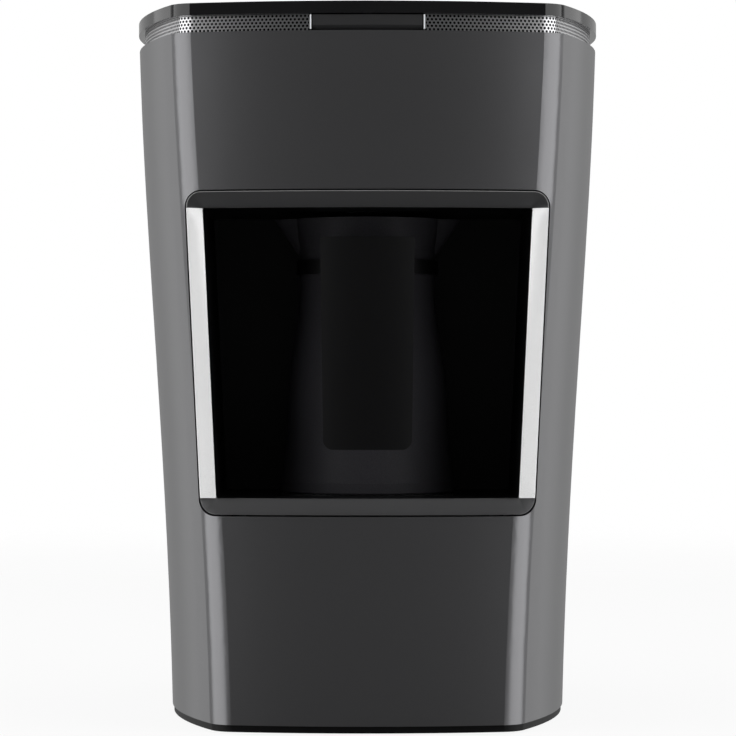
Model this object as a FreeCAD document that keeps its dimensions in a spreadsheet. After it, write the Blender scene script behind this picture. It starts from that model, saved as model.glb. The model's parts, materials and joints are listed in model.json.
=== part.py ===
import FreeCAD, Part
import math
import os
import re
import Sketcher
from FreeCAD import Rotation, Vector

# An electric coffee maker with one pot, in millimetres.
# The origin is the middle of the footprint, +Z is up and the front faces -Y.

DIMENSIONS = {
    # Outer form
    "total_height": 250.0,
    "body_depth": 170.0,
    "lid_width": 167.6,
    "width_top": 167.0,
    "width_high": 161.6,
    "width_middle": 154.1,
    "width_low": 147.3,
    "width_foot": 143.0,
    "front_radius": 250.0,
    "side_radius": 170.0,
    "corner_radius": 10.5,
    "lid_thickness": 4.2,
    "band_height": 5.8,
    "band_inset": 2.0,
    "band_sheet": 0.8,
    "casing_wall": 2.5,
    "foot_height": 0.6,
    "plate_thickness": 2.4,
    "plate_inset": 0.6,
    # Clearances
    "seat_gap": 0.2,
    "slide_gap": 0.3,
    "pin_gap": 0.05,
    "screw_gap": 0.05,
    # Window, its trim and the chamber behind it
    "window_bottom": 80.3,
    "window_top": 180.0,
    "window_half_bottom": 52.1,
    "window_half_top": 56.8,
    "lip_width": 5.5,
    "lip_corner": 5.3,
    "inner_corner": 1.0,
    "reveal": 0.5,
    "sleeve_depth": 29.7,
    "sleeve_wall": 1.2,
    "flange_reach": 11.0,
    "flange_half": 42.0,
    "flange_thickness": 1.5,
    "liner_setback": 17.0,
    "liner_rear_space": 55.0,
    "liner_wall": 2.0,
    # Coffee pot
    "pot_setback": 62.0,
    "pot_lift": 0.2,
    "pot_base_radius": 31.6,
    "pot_base_height": 4.0,
    "pot_waist_radius": 27.6,
    "pot_neck_radius": 24.4,
    "pot_rim_radius": 27.0,
    "pot_height": 97.8,
    "pot_wall": 1.2,
    "spout_reach": 33.6,
    "grip_half_top": 16.2,
    "grip_half_bottom": 15.2,
    "grip_top": 170.0,
    "grip_bottom": 97.0,
    "grip_setback": 4.5,
    "grip_thickness": 9.0,
    "grip_crown": 60.0,
    "inlay_height": 9.6,
    "inlay_sheet": 0.8,
    # Heater
    "hotplate_radius": 31.0,
    "seal_thickness": 1.4,
    "hotplate_flange": 36.0,
    "element_radius": 20.0,
    "element_tube": 3.2,
    "shield_radius": 37.5,
    "shield_depth": 12.0,
    "stud_radius": 2.0,
    "stud_circle": 30.0,
    # Screws and bosses
    "screw_radius": 1.5,
    "screw_head": 2.8,
    "boss_radius": 5.0,
    "base_boss_x": 54.0,
    "base_boss_y": 54.0,
    "deck_boss_x": 64.0,
    "deck_boss_y": 48.0,
    "foot_radius": 7.0,
    "foot_x": 44.0,
    "foot_y": 62.0,
    # Button
    "button_half": 18.8,
    "button_height": 4.9,
    "button_setback": 0.8,
    "button_depth": 2.6,
    "button_travel": 1.2,
    "guide_wall_setback": 10.0,
    "light_guide_width": 0.5,
    # Deck, lid and hinge
    "deck_skin": 2.5,
    "well_half_length": 46.0,
    "well_half_width": 21.0,
    "well_y": 2.0,
    "well_depth": 17.0,
    "hinge_setback": 3.0,
    "hinge_drop": 3.2,
    "knuckle_radius": 2.4,
    "pin_radius": 1.0,
    "knuckle_start": 20.0,
    "knuckle_split": 26.0,
    "ear_end": 32.0,
    "hinge_bay_half": 40.0,
    # Electronics
    "board_thickness": 1.6,
    "board_half_width": 45.0,
    "board_bottom": 95.0,
    "board_top": 165.0,
    "standoff_length": 6.0,
    "inlet_height": 24.0,
    "inlet_radius": 7.0,
    "inlet_bore": 3.6,
    "notch_half": 16.0,
    "notch_height": 39.0,
    "lead_radius": 1.1,
    "lead_bend": 7.0,
}

DERIVED = {
    "half_depth": "body_depth / 2",
    "liner_front": "liner_setback - half_depth",
    "liner_back": "half_depth - liner_rear_space",
    "guide_wall_y": "guide_wall_setback - half_depth",
    "hinge_y": "half_depth - hinge_setback",
    "lid_bottom": "total_height - lid_thickness",
    "body_top": "total_height - lid_thickness - band_height",
    "casing_bottom": "foot_height + plate_thickness",
    "deck_top": "lid_bottom - slide_gap",
    "liner_grow": "sleeve_wall + 0.1",
    "floor_top": "window_bottom - liner_grow",
    "floor_bottom": "floor_top - liner_wall",
    "ceiling": "window_top + liner_grow",
    "roof": "ceiling + liner_wall",
    "bracket_top": "floor_bottom",
    "pot_y": "pot_setback - half_depth",
    "pot_bottom": "window_bottom + pot_lift",
    "pot_top": "pot_bottom + pot_height",
    "pot_body_bottom": "pot_bottom + pot_base_height",
    "grip_front": "grip_setback - half_depth",
    "grip_back": "grip_front + grip_thickness",
    "plate_flange_top": "floor_bottom - seal_thickness",
    "flange_bottom": "plate_flange_top - 2",
    "shield_top": "bracket_top - 2",
    "shield_floor": "shield_top - shield_depth",
    "board_front": "liner_back + liner_wall + standoff_length",
    "board_rear": "board_front + board_thickness",
    "button_front": "button_setback - half_depth",
    "button_back": "button_front + button_depth",
    "button_bottom": "body_top + 0.5",
    "button_middle": "button_bottom + button_height / 2",
    "hinge_z": "total_height - hinge_drop",
    "well_floor": "deck_top - well_depth",
    "guide_wall_back": "guide_wall_y + 2",
    "stem_end": "guide_wall_back + 2.6",
    "switch_front": "stem_end + button_travel + 0.1",
    "button_board_y": "switch_front + 4.2",
    "sensor_board_z": "roof + 6.7",
}

doc = FreeCAD.newDocument("coffee_maker")
sheet = doc.addObject("Spreadsheet::Sheet", "dims")
for row, (alias, number) in enumerate(DIMENSIONS.items(), start=1):
    sheet.set("A%d" % row, alias.replace("_", " "))
    sheet.set("B%d" % row, str(number))
    sheet.setAlias("B%d" % row, alias)
doc.recompute()


def bind(expression):
    """An expression on the sheet's aliases and the layout's derived sizes."""
    def place(match):
        word = match.group(0)
        if word in DIMENSIONS:
            return "dims." + word
        if word in DERIVED:
            return "layout." + word
        return word
    return re.sub(r"[a-z][a-z_]+[a-z]", place, str(expression))


layout = doc.addObject("App::FeaturePython", "layout")
for derived_name in DERIVED:
    layout.addProperty("App::PropertyFloat", derived_name, "Derived")
for derived_name, derived_rule in DERIVED.items():
    layout.setExpression(derived_name, bind(derived_rule))
doc.recompute()


def size(name):
    """The number that a driving or a derived size has now."""
    if name in DIMENSIONS:
        return float(sheet.get(name))
    return float(getattr(layout, name))


PIECES = {}


def piece(label, obj):
    """Name an object as one of the part's pieces."""
    obj.Label = label
    PIECES[label] = obj
    return obj


def put(obj, x, y, z):
    """Bind an object's place to three expressions."""
    for axis, rule in zip("xyz", (x, y, z)):
        obj.setExpression("Placement.Base." + axis, bind(rule))
    return obj


def box(name, x, y, z, length, width, height):
    obj = doc.addObject("Part::Box", name)
    for prop, rule in (("Length", length), ("Width", width), ("Height", height)):
        obj.setExpression(prop, bind(rule))
    return put(obj, x, y, z)


TURNS = {
    "Z": Rotation(),
    "Y": Rotation(Vector(1, 0, 0), -90),
    "X": Rotation(Vector(0, 1, 0), 90),
}


def rod(name, radius, length, x, y, z, axis="Z"):
    """A cylinder that starts at (x, y, z) and runs along +axis."""
    obj = doc.addObject("Part::Cylinder", name)
    obj.setExpression("Radius", bind(radius))
    obj.setExpression("Height", bind(length))
    obj.Placement = FreeCAD.Placement(Vector(), TURNS[axis])
    return put(obj, x, y, z)


def shaped(name, shape):
    obj = doc.addObject("Part::Feature", name)
    obj.Shape = shape
    return obj


def fuse(name, *objects):
    obj = doc.addObject("Part::MultiFuse", name)
    obj.Shapes = list(objects)
    obj.Refine = True
    return obj


def cut(name, base, *tools):
    obj = doc.addObject("Part::Cut", name)
    obj.Base = base
    obj.Tool = tools[0] if len(tools) == 1 else fuse(name + "_tools", *tools)
    return obj


def common(name, *objects):
    obj = doc.addObject("Part::MultiCommon", name)
    obj.Shapes = list(objects)
    return obj


def group(name, *objects):
    """Several separate solids kept in one node."""
    obj = doc.addObject("Part::Compound", name)
    obj.Links = list(objects)
    return obj


def plane_of(body, role):
    return [f for f in body.Origin.OriginFeatures if f.Role == role][0]


def polygon_sketch(body, name, role, points):
    """A closed polygon whose corners are bound to pairs of expressions."""
    sketch = body.newObject("Sketcher::SketchObject", name)
    sketch.AttachmentSupport = [(plane_of(body, role), "")]
    sketch.MapMode = "FlatFace"
    count = len(points)
    for i in range(count):
        start = Vector(10 * math.cos(6.28 * i / count), 10 * math.sin(6.28 * i / count), 0)
        j = i + 1
        end = Vector(10 * math.cos(6.28 * j / count), 10 * math.sin(6.28 * j / count), 0)
        sketch.addGeometry(Part.LineSegment(start, end), False)
    for i in range(count):
        sketch.addConstraint(Sketcher.Constraint("Coincident", i, 2, (i + 1) % count, 1))
    for i, (across, up) in enumerate(points):
        for kind, rule, line in (("DistanceX", across, -2), ("DistanceY", up, -1)):
            if str(rule) == "0":
                sketch.addConstraint(Sketcher.Constraint("PointOnObject", i, 1, line))
                continue
            index = sketch.addConstraint(Sketcher.Constraint(kind, -1, 1, i, 1, 1.0))
            sketch.setExpression("Constraints[%d]" % index, bind(rule))
    return sketch


def turned(name, x, y, z, points):
    """A body turned about its own Z axis from (radius, height) corners."""
    body = doc.addObject("PartDesign::Body", name)
    sketch = polygon_sketch(body, name + "_profile", "XZ_Plane", points)
    turn = body.newObject("PartDesign::Revolution", name + "_turn")
    turn.Profile = sketch
    turn.ReferenceAxis = (sketch, ["V_Axis"])
    turn.Angle = 360.0
    sketch.Visibility = False
    return put(body, x, y, z)


def screw(name, x, y, z, length, axis="Z", head="screw_head", shaft="screw_radius", turn=1):
    """A pan-head screw whose head rests at (x, y, z); turn -1 puts the head below."""
    head_height = 1.6
    if axis == "Z":
        top = rod(name + "_head", head, head_height, x, y, z if turn > 0 else "%s - %s" % (z, head_height))
        body = rod(name + "_shaft", shaft, length, x, y, "%s - (%s)" % (z, length) if turn > 0 else z)
    else:
        top = rod(name + "_head", head, head_height, x, y, z, axis)
        body = rod(name + "_shaft", shaft, length, x, "%s - (%s)" % (y, length), z, axis)
    return fuse(name, top, body)


# The plan of the casing, lid and band: four shallow arcs joined by round corners

def outline(width, inset, level):
    """The closed plan curve of one width, drawn inwards by inset, at one height."""
    half_width = width / 2 - inset
    half_depth = size("half_depth") - inset
    front = size("front_radius") - inset
    side = size("side_radius") - inset
    corner = size("corner_radius") - inset
    front_centre = Vector(0, front - half_depth, level)
    side_centre = Vector(half_width - side, 0, level)
    reach_front = front - corner
    reach_side = side - corner
    between = side_centre - front_centre
    gap = between.Length
    along = (reach_front ** 2 - reach_side ** 2 + gap ** 2) / (2 * gap)
    across = math.sqrt(reach_front ** 2 - along ** 2)
    unit = Vector(between.x / gap, between.y / gap, 0)
    normal = Vector(-unit.y, unit.x, 0)
    foot = front_centre + unit * along
    choices = [foot + normal * across, foot - normal * across]
    centre = max(choices, key=lambda p: p.x - p.y)
    on_front = centre + (centre - front_centre).normalize() * corner
    on_side = centre + (centre - side_centre).normalize() * corner
    middle = centre + ((on_front - centre) + (on_side - centre)).normalize() * corner

    def flip(point, sign_x, sign_y):
        return Vector(point.x * sign_x, point.y * sign_y, level)

    def arc(a, b, c):
        return Part.Arc(a, b, c).toShape()

    front_mid = Vector(0, -half_depth, level)
    side_mid = Vector(half_width, 0, level)
    edges = [
        arc(flip(on_front, -1, 1), front_mid, on_front),
        arc(on_front, middle, on_side),
        arc(on_side, side_mid, flip(on_side, 1, -1)),
        arc(flip(on_side, 1, -1), flip(middle, 1, -1), flip(on_front, 1, -1)),
        arc(flip(on_front, 1, -1), flip(front_mid, 1, -1), flip(on_front, -1, -1)),
        arc(flip(on_front, -1, -1), flip(middle, -1, -1), flip(on_side, -1, -1)),
        arc(flip(on_side, -1, -1), flip(side_mid, -1, 1), flip(on_side, -1, 1)),
        arc(flip(on_side, -1, 1), flip(middle, -1, 1), flip(on_front, -1, 1)),
    ]
    return Part.Wire(edges)


def slab(width, inset, low, high):
    """A straight block of the plan's shape between two heights."""
    face = Part.Face(outline(width, inset, low))
    return face.extrude(Vector(0, 0, high - low))


def casing_block(inset):
    """The tapered body as a solid, drawn inwards by inset."""
    low = size("casing_bottom")
    high = size("body_top")
    stations = ("width_foot", "width_low", "width_middle", "width_high", "width_top")
    wires = []
    for step, name in enumerate(stations):
        level = low + (high - low) * step / (len(stations) - 1)
        wires.append(outline(size(name), inset, level))
    return Part.makeLoft(wires, True, False)


def window_block(grow, front, back, corner):
    """The window's outline, grown by a margin, as a block along Y."""
    low = size("window_bottom")
    high = size("window_top")
    slope = (size("window_half_top") - size("window_half_bottom")) / (high - low)
    corners = []
    for level, sign in ((low - grow, -1), (low - grow, 1), (high + grow, 1), (high + grow, -1)):
        half = size("window_half_bottom") + (level - low) * slope + grow
        corners.append(Vector(sign * half, front, level))
    face = Part.Face(Part.makePolygon(corners + corners[:1]))
    solid = face.extrude(Vector(0, back - front, 0))
    if corner <= 0:
        return solid
    long_edges = [e for e in solid.Edges if abs(e.Vertexes[0].Y - e.Vertexes[-1].Y) > 0.5 * (back - front)]
    return solid.makeFillet(corner, long_edges)


FAR = 2 * size("body_depth")
top_width = size("width_top")
body_top = size("body_top")
deck_top = size("deck_top")

# Outer casing: a tapered shell with its window, cord inlet and screw bosses

shell = shaped("shell_outside", casing_block(0))
shell_inside = shaped("shell_inside", casing_block(size("casing_wall")))
shell_limit = shaped("shell_limit", casing_block(0.5))
bosses = []
boss_holes = []
for i, (sx, sy) in enumerate(((1, 1), (-1, 1), (-1, -1), (1, -1))):
    low_x = "%d * base_boss_x" % sx
    low_y = "%d * base_boss_y" % sy
    bosses.append(rod("base_boss_%d" % i, "boss_radius", 20, low_x, low_y, "casing_bottom"))
    rib_x = low_x if sx > 0 else "%s - 20" % low_x
    bosses.append(box("base_rib_%d" % i, rib_x, "%s - 1" % low_y, "casing_bottom", 20, 2, 20))
    boss_holes.append(rod("base_hole_%d" % i, "screw_radius + screw_gap", 12, low_x, low_y, "casing_bottom"))
    high_x = "%d * deck_boss_x" % sx
    high_y = "%d * deck_boss_y" % sy
    high_z = "body_top - 26"
    bosses.append(rod("deck_boss_%d" % i, "boss_radius", 20, high_x, high_y, high_z))
    rib_x = high_x if sx > 0 else "%s - 20" % high_x
    bosses.append(box("deck_rib_%d" % i, rib_x, "%s - 1" % high_y, high_z, 20, 2, 20))
    boss_holes.append(rod("deck_hole_%d" % i, "screw_radius + screw_gap", 14, high_x, high_y,
                          "body_top - 20"))
boss_set = cut("boss_set", common("bosses_inside", fuse("bosses", *bosses), shell_limit), *boss_holes)
hollow = cut("shell_hollow", shell, shell_inside)
window_hole = shaped("window_hole", window_block(
    size("lip_width") + size("reveal"), -FAR, size("liner_front") + 12, size("lip_corner") + size("reveal")))
inlet_notch = box("inlet_notch", "-notch_half", "half_depth - 12", "casing_bottom - 1",
                  "2 * notch_half", 20, "notch_height + 1")
casing_open = cut("casing_open", hollow, window_hole, inlet_notch)
piece("outer_casing", fuse("casing", casing_open, boss_set))

# Cord inlet insert: it fills the notch at the casing's lower rear edge and laps behind it

insert_space = box("insert_space", "-notch_half + seat_gap / 2", "half_depth - 12", "casing_bottom",
                   "2 * notch_half - seat_gap", 20, "notch_height - seat_gap / 2")
insert_plug = common("insert_plug", hollow, insert_space)
lap_layer = casing_block(size("casing_wall")).cut(casing_block(size("casing_wall") + 2))
lap_space = box("lap_space", "-notch_half - 5", "half_depth - 12", "casing_bottom",
                "2 * notch_half + 10", 20, "notch_height + 5")
insert_lap = cut("insert_lap", common("lap_sheet", shaped("lap_layer", lap_layer), lap_space),
                 rod("lap_hole", "inlet_radius + 4", 30, 0, "half_depth - 20", "inlet_height", "Y"))
piece("inlet_insert", cut("insert", fuse("insert_body", insert_plug, insert_lap),
                          rod("inlet_hole", "inlet_radius + 0.05", 30, 0, "half_depth - 20",
                              "inlet_height", "Y")))

# Base plate with vents, feet holes and screw holes

plate = shaped("plate_block", slab(size("width_foot"), size("plate_inset"), size("foot_height"),
                                   size("casing_bottom")))
plate_holes = []
feet = []
base_screws = []
for i, (sx, sy) in enumerate(((1, 1), (-1, 1), (-1, -1), (1, -1))):
    px = "%d * base_boss_x" % sx
    py = "%d * base_boss_y" % sy
    plate_holes.append(rod("plate_hole_%d" % i, "screw_radius + screw_gap", "plate_thickness", px, py,
                           "foot_height"))
    plate_holes.append(rod("plate_sink_%d" % i, "screw_head + screw_gap", 1.7, px, py, "foot_height"))
    base_screws.append(screw("base_screw_%d" % i, px, py, "foot_height + 1.7", 12, turn=-1))
    fx = "%d * foot_x" % sx
    fy = "%d * foot_y" % sy
    plate_holes.append(rod("foot_hole_%d" % i, "3 + pin_gap", "plate_thickness", fx, fy, "foot_height"))
    feet.append(turned("foot_%d" % i, fx, fy, 0, [
        (0, 0), ("foot_radius - 0.3", 0), ("foot_radius", "foot_height"), ("3", "foot_height"),
        ("3", "casing_bottom"), ("4.2", "casing_bottom"), ("2.6", "casing_bottom + 2"),
        (0, "casing_bottom + 2")]))
for row in (-1, 1):
    for step in range(-4, 5):
        plate_holes.append(box("vent_%d_%d" % (row + 1, step + 4), "%d - 1.25" % (step * 8),
                               "%d - 9" % (row * 34), "foot_height", 2.5, 18, "plate_thickness"))
plate_blank = cut("plate", plate, *plate_holes)
piece("rubber_feet", group("feet", *feet))
piece("base_screws", group("base_screw_set", *base_screws))

# Bezel trim: a bevelled frame that follows the curved front, and the sleeve behind it


def flange_strips(front):
    """The two screw strips above and below the window, from y = front."""
    half = size("flange_half")
    depth = size("flange_thickness")
    strips = []
    for low in (size("window_top") + 2, size("window_bottom") - size("flange_reach")):
        strips.append(Part.makeBox(2 * half, depth, size("flange_reach") - 2, Vector(-half, front, low)))
    return strips


def skin_y(x, level):
    """Where the casing's front surface lies, at one place across it."""
    ray = Part.makeLine(Vector(x, -FAR, level), Vector(x, 0, level))
    return min(v.Y for v in ray.common(shell.Shape).Vertexes)


lip_depth = size("lip_width")
front_radius = size("front_radius")
front_line = -size("half_depth")
arc_centre_y = front_line + front_radius
sleeve_end = front_line + size("sleeve_depth")
flange_front = size("liner_front") - size("flange_thickness")
frame_block = window_block(lip_depth, -FAR, size("liner_front"), size("lip_corner"))
frame_block = frame_block.fuse(flange_strips(flange_front))
frame_block = frame_block.fuse(window_block(size("sleeve_wall"), -FAR, sleeve_end,
                                            size("inner_corner") + size("sleeve_wall")))
frame_block = frame_block.common(shell.Shape)
frame_block = frame_block.cut(window_block(0, -FAR, sleeve_end + 1, size("inner_corner")))
low_in, high_in = size("window_bottom"), size("window_top")
funnel_rise = lip_depth + 1
funnel_profile = Part.makePolygon([
    Vector(front_radius - lip_depth - 0.001, arc_centre_y, low_in),
    Vector(front_radius + 1, arc_centre_y, low_in - funnel_rise),
    Vector(front_radius + 1, arc_centre_y, high_in + funnel_rise),
    Vector(front_radius - lip_depth - 0.001, arc_centre_y, high_in),
    Vector(front_radius - lip_depth - 0.001, arc_centre_y, low_in)])
funnel = Part.Face(funnel_profile).revolve(Vector(0, arc_centre_y, 0), Vector(0, 0, 1), 360)
slope = (size("window_half_top") - size("window_half_bottom")) / (high_in - low_in)
wedge_wires = []
for level in (low_in - 10, high_in + 10):
    half = size("window_half_bottom") + (level - low_in) * slope
    edge_y = skin_y(half + lip_depth, level)
    far = half + lip_depth + 9
    corners = [Vector(-half, edge_y + lip_depth, level), Vector(half, edge_y + lip_depth, level),
               Vector(far, edge_y - 9, level), Vector(-far, edge_y - 9, level)]
    wedge_wires.append(Part.makePolygon(corners + corners[:1]))
wedge = Part.makeLoft(wedge_wires, True, True)
bevel = funnel.common(wedge)
bezel = shaped("bezel_shape", frame_block.cut(bevel))
trim_holes = []
trim_screws = []
liner_tools = []
for i, (sx, level) in enumerate(((1, 1), (-1, 1), (-1, -1), (1, -1))):
    tx = "%d * (flange_half - 6)" % sx
    tz = "window_top + flange_reach - 3" if level > 0 else "window_bottom - flange_reach + 3"
    trim_holes.append(rod("trim_hole_%d" % i, "1.2 + screw_gap", 12, tx, "liner_front - 4", tz, "Y"))
    liner_tools.append(rod("liner_hole_%d" % i, "1.2 + screw_gap", 12, tx, "liner_front - 4", tz, "Y"))
    trim_screws.append(screw("trim_screw_%d" % i, tx, "liner_front + flange_thickness", tz,
                             "2 * flange_thickness", "Y", "2.2", "1.2"))
piece("bezel_trim", cut("bezel", bezel, *trim_holes))
piece("trim_screws", group("trim_screw_set", *trim_screws))

# Chamber liner: a box open at the front, with holes for the hotplate and the sensor

grow = size("liner_grow")
liner_front = size("liner_front")
liner_back = size("liner_back")
liner_wall = size("liner_wall")
liner_outside = window_block(grow + liner_wall, liner_front, liner_back + liner_wall, 3)
liner_hollow = window_block(grow, -FAR, liner_back, 1)
liner_box = shaped("liner_box", liner_outside.fuse(flange_strips(liner_front)).cut(liner_hollow))
liner_tools.append(rod("hotplate_hole", "hotplate_radius + seal_thickness + 0.2", 8, 0, "pot_y",
                       "floor_bottom - 3"))
liner_tools.append(rod("lens_hole", 8, 10, 0, "pot_y", "ceiling - 3"))
standoffs = []
board_screws = []
board_holes = []
for i, (sx, level) in enumerate(((1, "board_bottom + 5"), (-1, "board_bottom + 5"),
                                 (-1, "board_top - 5"), (1, "board_top - 5"))):
    sx_rule = "%d * (board_half_width - 5)" % sx
    standoffs.append(rod("standoff_%d" % i, 3.5, "standoff_length + 1", sx_rule,
                         "liner_back + liner_wall - 1", level, "Y"))
    liner_tools.append(rod("standoff_hole_%d" % i, "1.4 + screw_gap", 20, sx_rule,
                           "liner_back + liner_wall", level, "Y"))
    board_holes.append(rod("board_hole_%d" % i, "1.4 + screw_gap", 10, sx_rule, "board_front - 4", level,
                           "Y"))
    board_screws.append(screw("board_screw_%d" % i, sx_rule, "board_rear", level,
                              "board_thickness + standoff_length - 1", "Y", "screw_head", "1.4"))
sensor_holes = []
sensor_screws = []
for i, (sx, sy) in enumerate(((1, 1), (-1, -1))):
    hx = "%d * 11.5" % sx
    hy = "pot_y + %d * 12" % sy
    standoffs.append(rod("sensor_post_%d" % i, 3, "sensor_board_z - roof + 1", hx, hy, "roof - 1"))
    liner_tools.append(rod("sensor_post_hole_%d" % i, "1.2 + screw_gap", 12, hx, hy, "roof + 0.5"))
    sensor_holes.append(rod("sensor_hole_%d" % i, "1.2 + screw_gap", 10, hx, hy, "sensor_board_z - 4"))
    sensor_screws.append(screw("sensor_screw_%d" % i, hx, hy, "sensor_board_z + board_thickness", 7,
                               "Z", "2.4", "1.2"))
piece("chamber_liner", cut("liner", fuse("liner_bosses", liner_box, *standoffs), *liner_tools))

# Coffee-level sensor above the pot

piece("sensor_window", turned("sensor_lens", 0, "pot_y", 0, [
    (0, "ceiling"), ("8 - pin_gap", "ceiling"), ("8 - pin_gap", "roof"), (10, "roof"),
    (10, "roof + 1"), (0, "roof + 1")]))
sensor_plate = box("sensor_plate", -15, "pot_y - 15", "sensor_board_z", 30, 30, "board_thickness")
piece("sensor_board", cut("sensor_plate_cut", sensor_plate, *sensor_holes))
piece("foam_sensors", group("foam_sensor_pair", *[
    rod("foam_sensor_%d" % i, 2.5, "sensor_board_z - roof - 1.2", 5 * s, "pot_y", "roof + 1.2")
    for i, s in enumerate((1, -1))]))
piece("sensor_screws", group("sensor_screw_set", *sensor_screws))

# Hotplate with its seal, element, studs, heat shield and sensors

piece("hotplate", turned("hotplate_disc", 0, "pot_y", 0, [
    (0, "flange_bottom"), ("hotplate_flange", "flange_bottom"), ("hotplate_flange", "plate_flange_top"),
    ("hotplate_radius", "plate_flange_top"), ("hotplate_radius", "window_bottom - 0.6"),
    ("hotplate_radius - 0.6", "window_bottom"), (0, "window_bottom")]))
piece("hotplate_seal", turned("seal_ring", 0, "pot_y", 0, [
    ("hotplate_radius + pin_gap", "plate_flange_top"), ("hotplate_flange", "plate_flange_top"),
    ("hotplate_flange", "floor_bottom"), ("hotplate_radius + seal_thickness", "floor_bottom"),
    ("hotplate_radius + seal_thickness", "floor_top"),
    ("hotplate_radius + pin_gap", "floor_top")]))
element_turn = 320
gap_angle = math.radians(element_turn)
element_ring = size("element_radius")
element_tube = size("element_tube")
element_level = size("flange_bottom") - element_tube
element_low = size("shield_floor") - 6
element_circle = Part.makeCircle(element_tube, Vector(element_ring, 0, element_level), Vector(0, 1, 0))
element = Part.Face(Part.Wire(element_circle)).revolve(Vector(), Vector(0, 0, 1), element_turn)
element_ends = [Vector(element_ring, 0, element_low),
                Vector(element_ring * math.cos(gap_angle), element_ring * math.sin(gap_angle), element_low)]
for end in element_ends:
    element = element.fuse(Part.makeCylinder(element_tube - 0.6, element_level - element_low + 2, end))
piece("heating_element", put(shaped("element", element), 0, "pot_y", 0))
end_rules = (("element_radius", "pot_y"),
             ("element_radius * %.6f" % math.cos(gap_angle),
              "pot_y + element_radius * %.6f" % math.sin(gap_angle)))
studs = []
nuts = []
shield_tools = [rod("end_hole_%d" % i, "element_tube + 0.6", 6, ex, ey, "shield_floor - 3")
                for i, (ex, ey) in enumerate(end_rules)]
bracket_tools = [rod("bracket_mouth", "shield_radius + 0.5", 20, 0, "pot_y", "bracket_top - 10")]
shield_screws = []
for i in range(3):
    turn = math.radians(120 * i + 30)
    sx = "stud_circle * %.6f" % math.cos(turn)
    sy = "pot_y + stud_circle * %.6f" % math.sin(turn)
    studs.append(rod("stud_%d" % i, "stud_radius", "flange_bottom - shield_floor + 5", sx, sy,
                     "shield_floor - 5"))
    shield_tools.append(rod("stud_hole_%d" % i, "stud_radius + screw_gap", 6, sx, sy, "shield_floor - 3"))
    nut = doc.addObject("Part::Prism", "nut_%d" % i)
    nut.Polygon = 6
    nut.Circumradius = 4.0
    nut.Height = 3.2
    put(nut, sx, sy, "shield_floor - 3.2")
    nuts.append(cut("nut_cut_%d" % i, nut, rod("nut_hole_%d" % i, "stud_radius + screw_gap", 6, sx, sy,
                                               "shield_floor - 5")))
    wide = math.radians(120 * i + 90)
    wx = "(shield_radius + 3) * %.6f" % math.cos(wide)
    wy = "pot_y + (shield_radius + 3) * %.6f" % math.sin(wide)
    hole = rod("shield_hole_%d" % i, "screw_radius + screw_gap", 12, wx, wy, "shield_top - 4")
    shield_tools.append(hole)
    bracket_tools.append(rod("bracket_hole_%d" % i, "screw_radius + screw_gap", 12, wx, wy,
                             "bracket_top - 6"))
    shield_screws.append(screw("shield_screw_%d" % i, wx, wy, "shield_top - 1", 2.8, "Z", "2.4", turn=-1))
shield = turned("shield_dish", 0, "pot_y", 0, [
    (3, "shield_floor"), ("shield_radius", "shield_floor"), ("shield_radius", "shield_top - 1"),
    ("shield_radius + 5.5", "shield_top - 1"), ("shield_radius + 5.5", "shield_top"),
    ("shield_radius - 1", "shield_top"), ("shield_radius - 1", "shield_floor + 1"), (3, "shield_floor + 1")])
piece("hotplate_studs", group("stud_set", *studs))
piece("stud_nuts", group("nut_set", *nuts))
piece("heat_shield", cut("shield", shield, *shield_tools))
piece("shield_screws", group("shield_screw_set", *shield_screws))
piece("temperature_sensor", turned("sensor_cup", 0, "pot_y", 0, [
    (0, "shield_floor + 1"), (6, "shield_floor + 1"), (6, "shield_floor + 2.5"), (4.5, "shield_floor + 3.5"),
    (4.5, "flange_bottom"), (0, "flange_bottom")]))
piece("thermal_fuse", rod("fuse_body", 2.2, 14, -22, "pot_y - 7", "shield_floor - 2.3", "Y"))

# Support bracket: a sheet bridge that carries the chamber and the heater

bracket_plate = box("bracket_plate", -52, "pot_y - 42", "bracket_top - 2", 104, 90, 2)
legs = []
bracket_screws = []
plate_pilots = []
for i, sx in enumerate((1, -1)):
    leg_x = "50" if sx > 0 else "-52"
    foot_x = "36" if sx > 0 else "-52"
    legs.append(box("leg_%d" % i, leg_x, "pot_y - 20", "casing_bottom", 2, 40, "bracket_top - casing_bottom"))
    legs.append(box("leg_foot_%d" % i, foot_x, "pot_y - 20", "casing_bottom", 16, 40, 2))
    for j, sy in enumerate((1, -1)):
        bx = "%d" % (41 * sx)
        by = "pot_y + %d" % (13 * sy)
        bracket_tools.append(rod("foot_pilot_%d_%d" % (i, j), "screw_radius + screw_gap", 6, bx, by,
                                 "casing_bottom - 2"))
        plate_pilots.append(rod("plate_pilot_%d_%d" % (i, j), "screw_radius + screw_gap", 1.9, bx, by,
                                "casing_bottom - 1.9"))
        bracket_screws.append(screw("bracket_screw_%d_%d" % (i, j), bx, by, "casing_bottom + 2", 3.8))
piece("support_bracket", cut("bracket", fuse("bracket_sheet", bracket_plate, *legs), *bracket_tools))
piece("bracket_screws", group("bracket_screw_set", *bracket_screws))
piece("base_plate", cut("plate_with_pilots", plate_blank, *plate_pilots))

# Control board behind the chamber, with what stands on it

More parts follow.
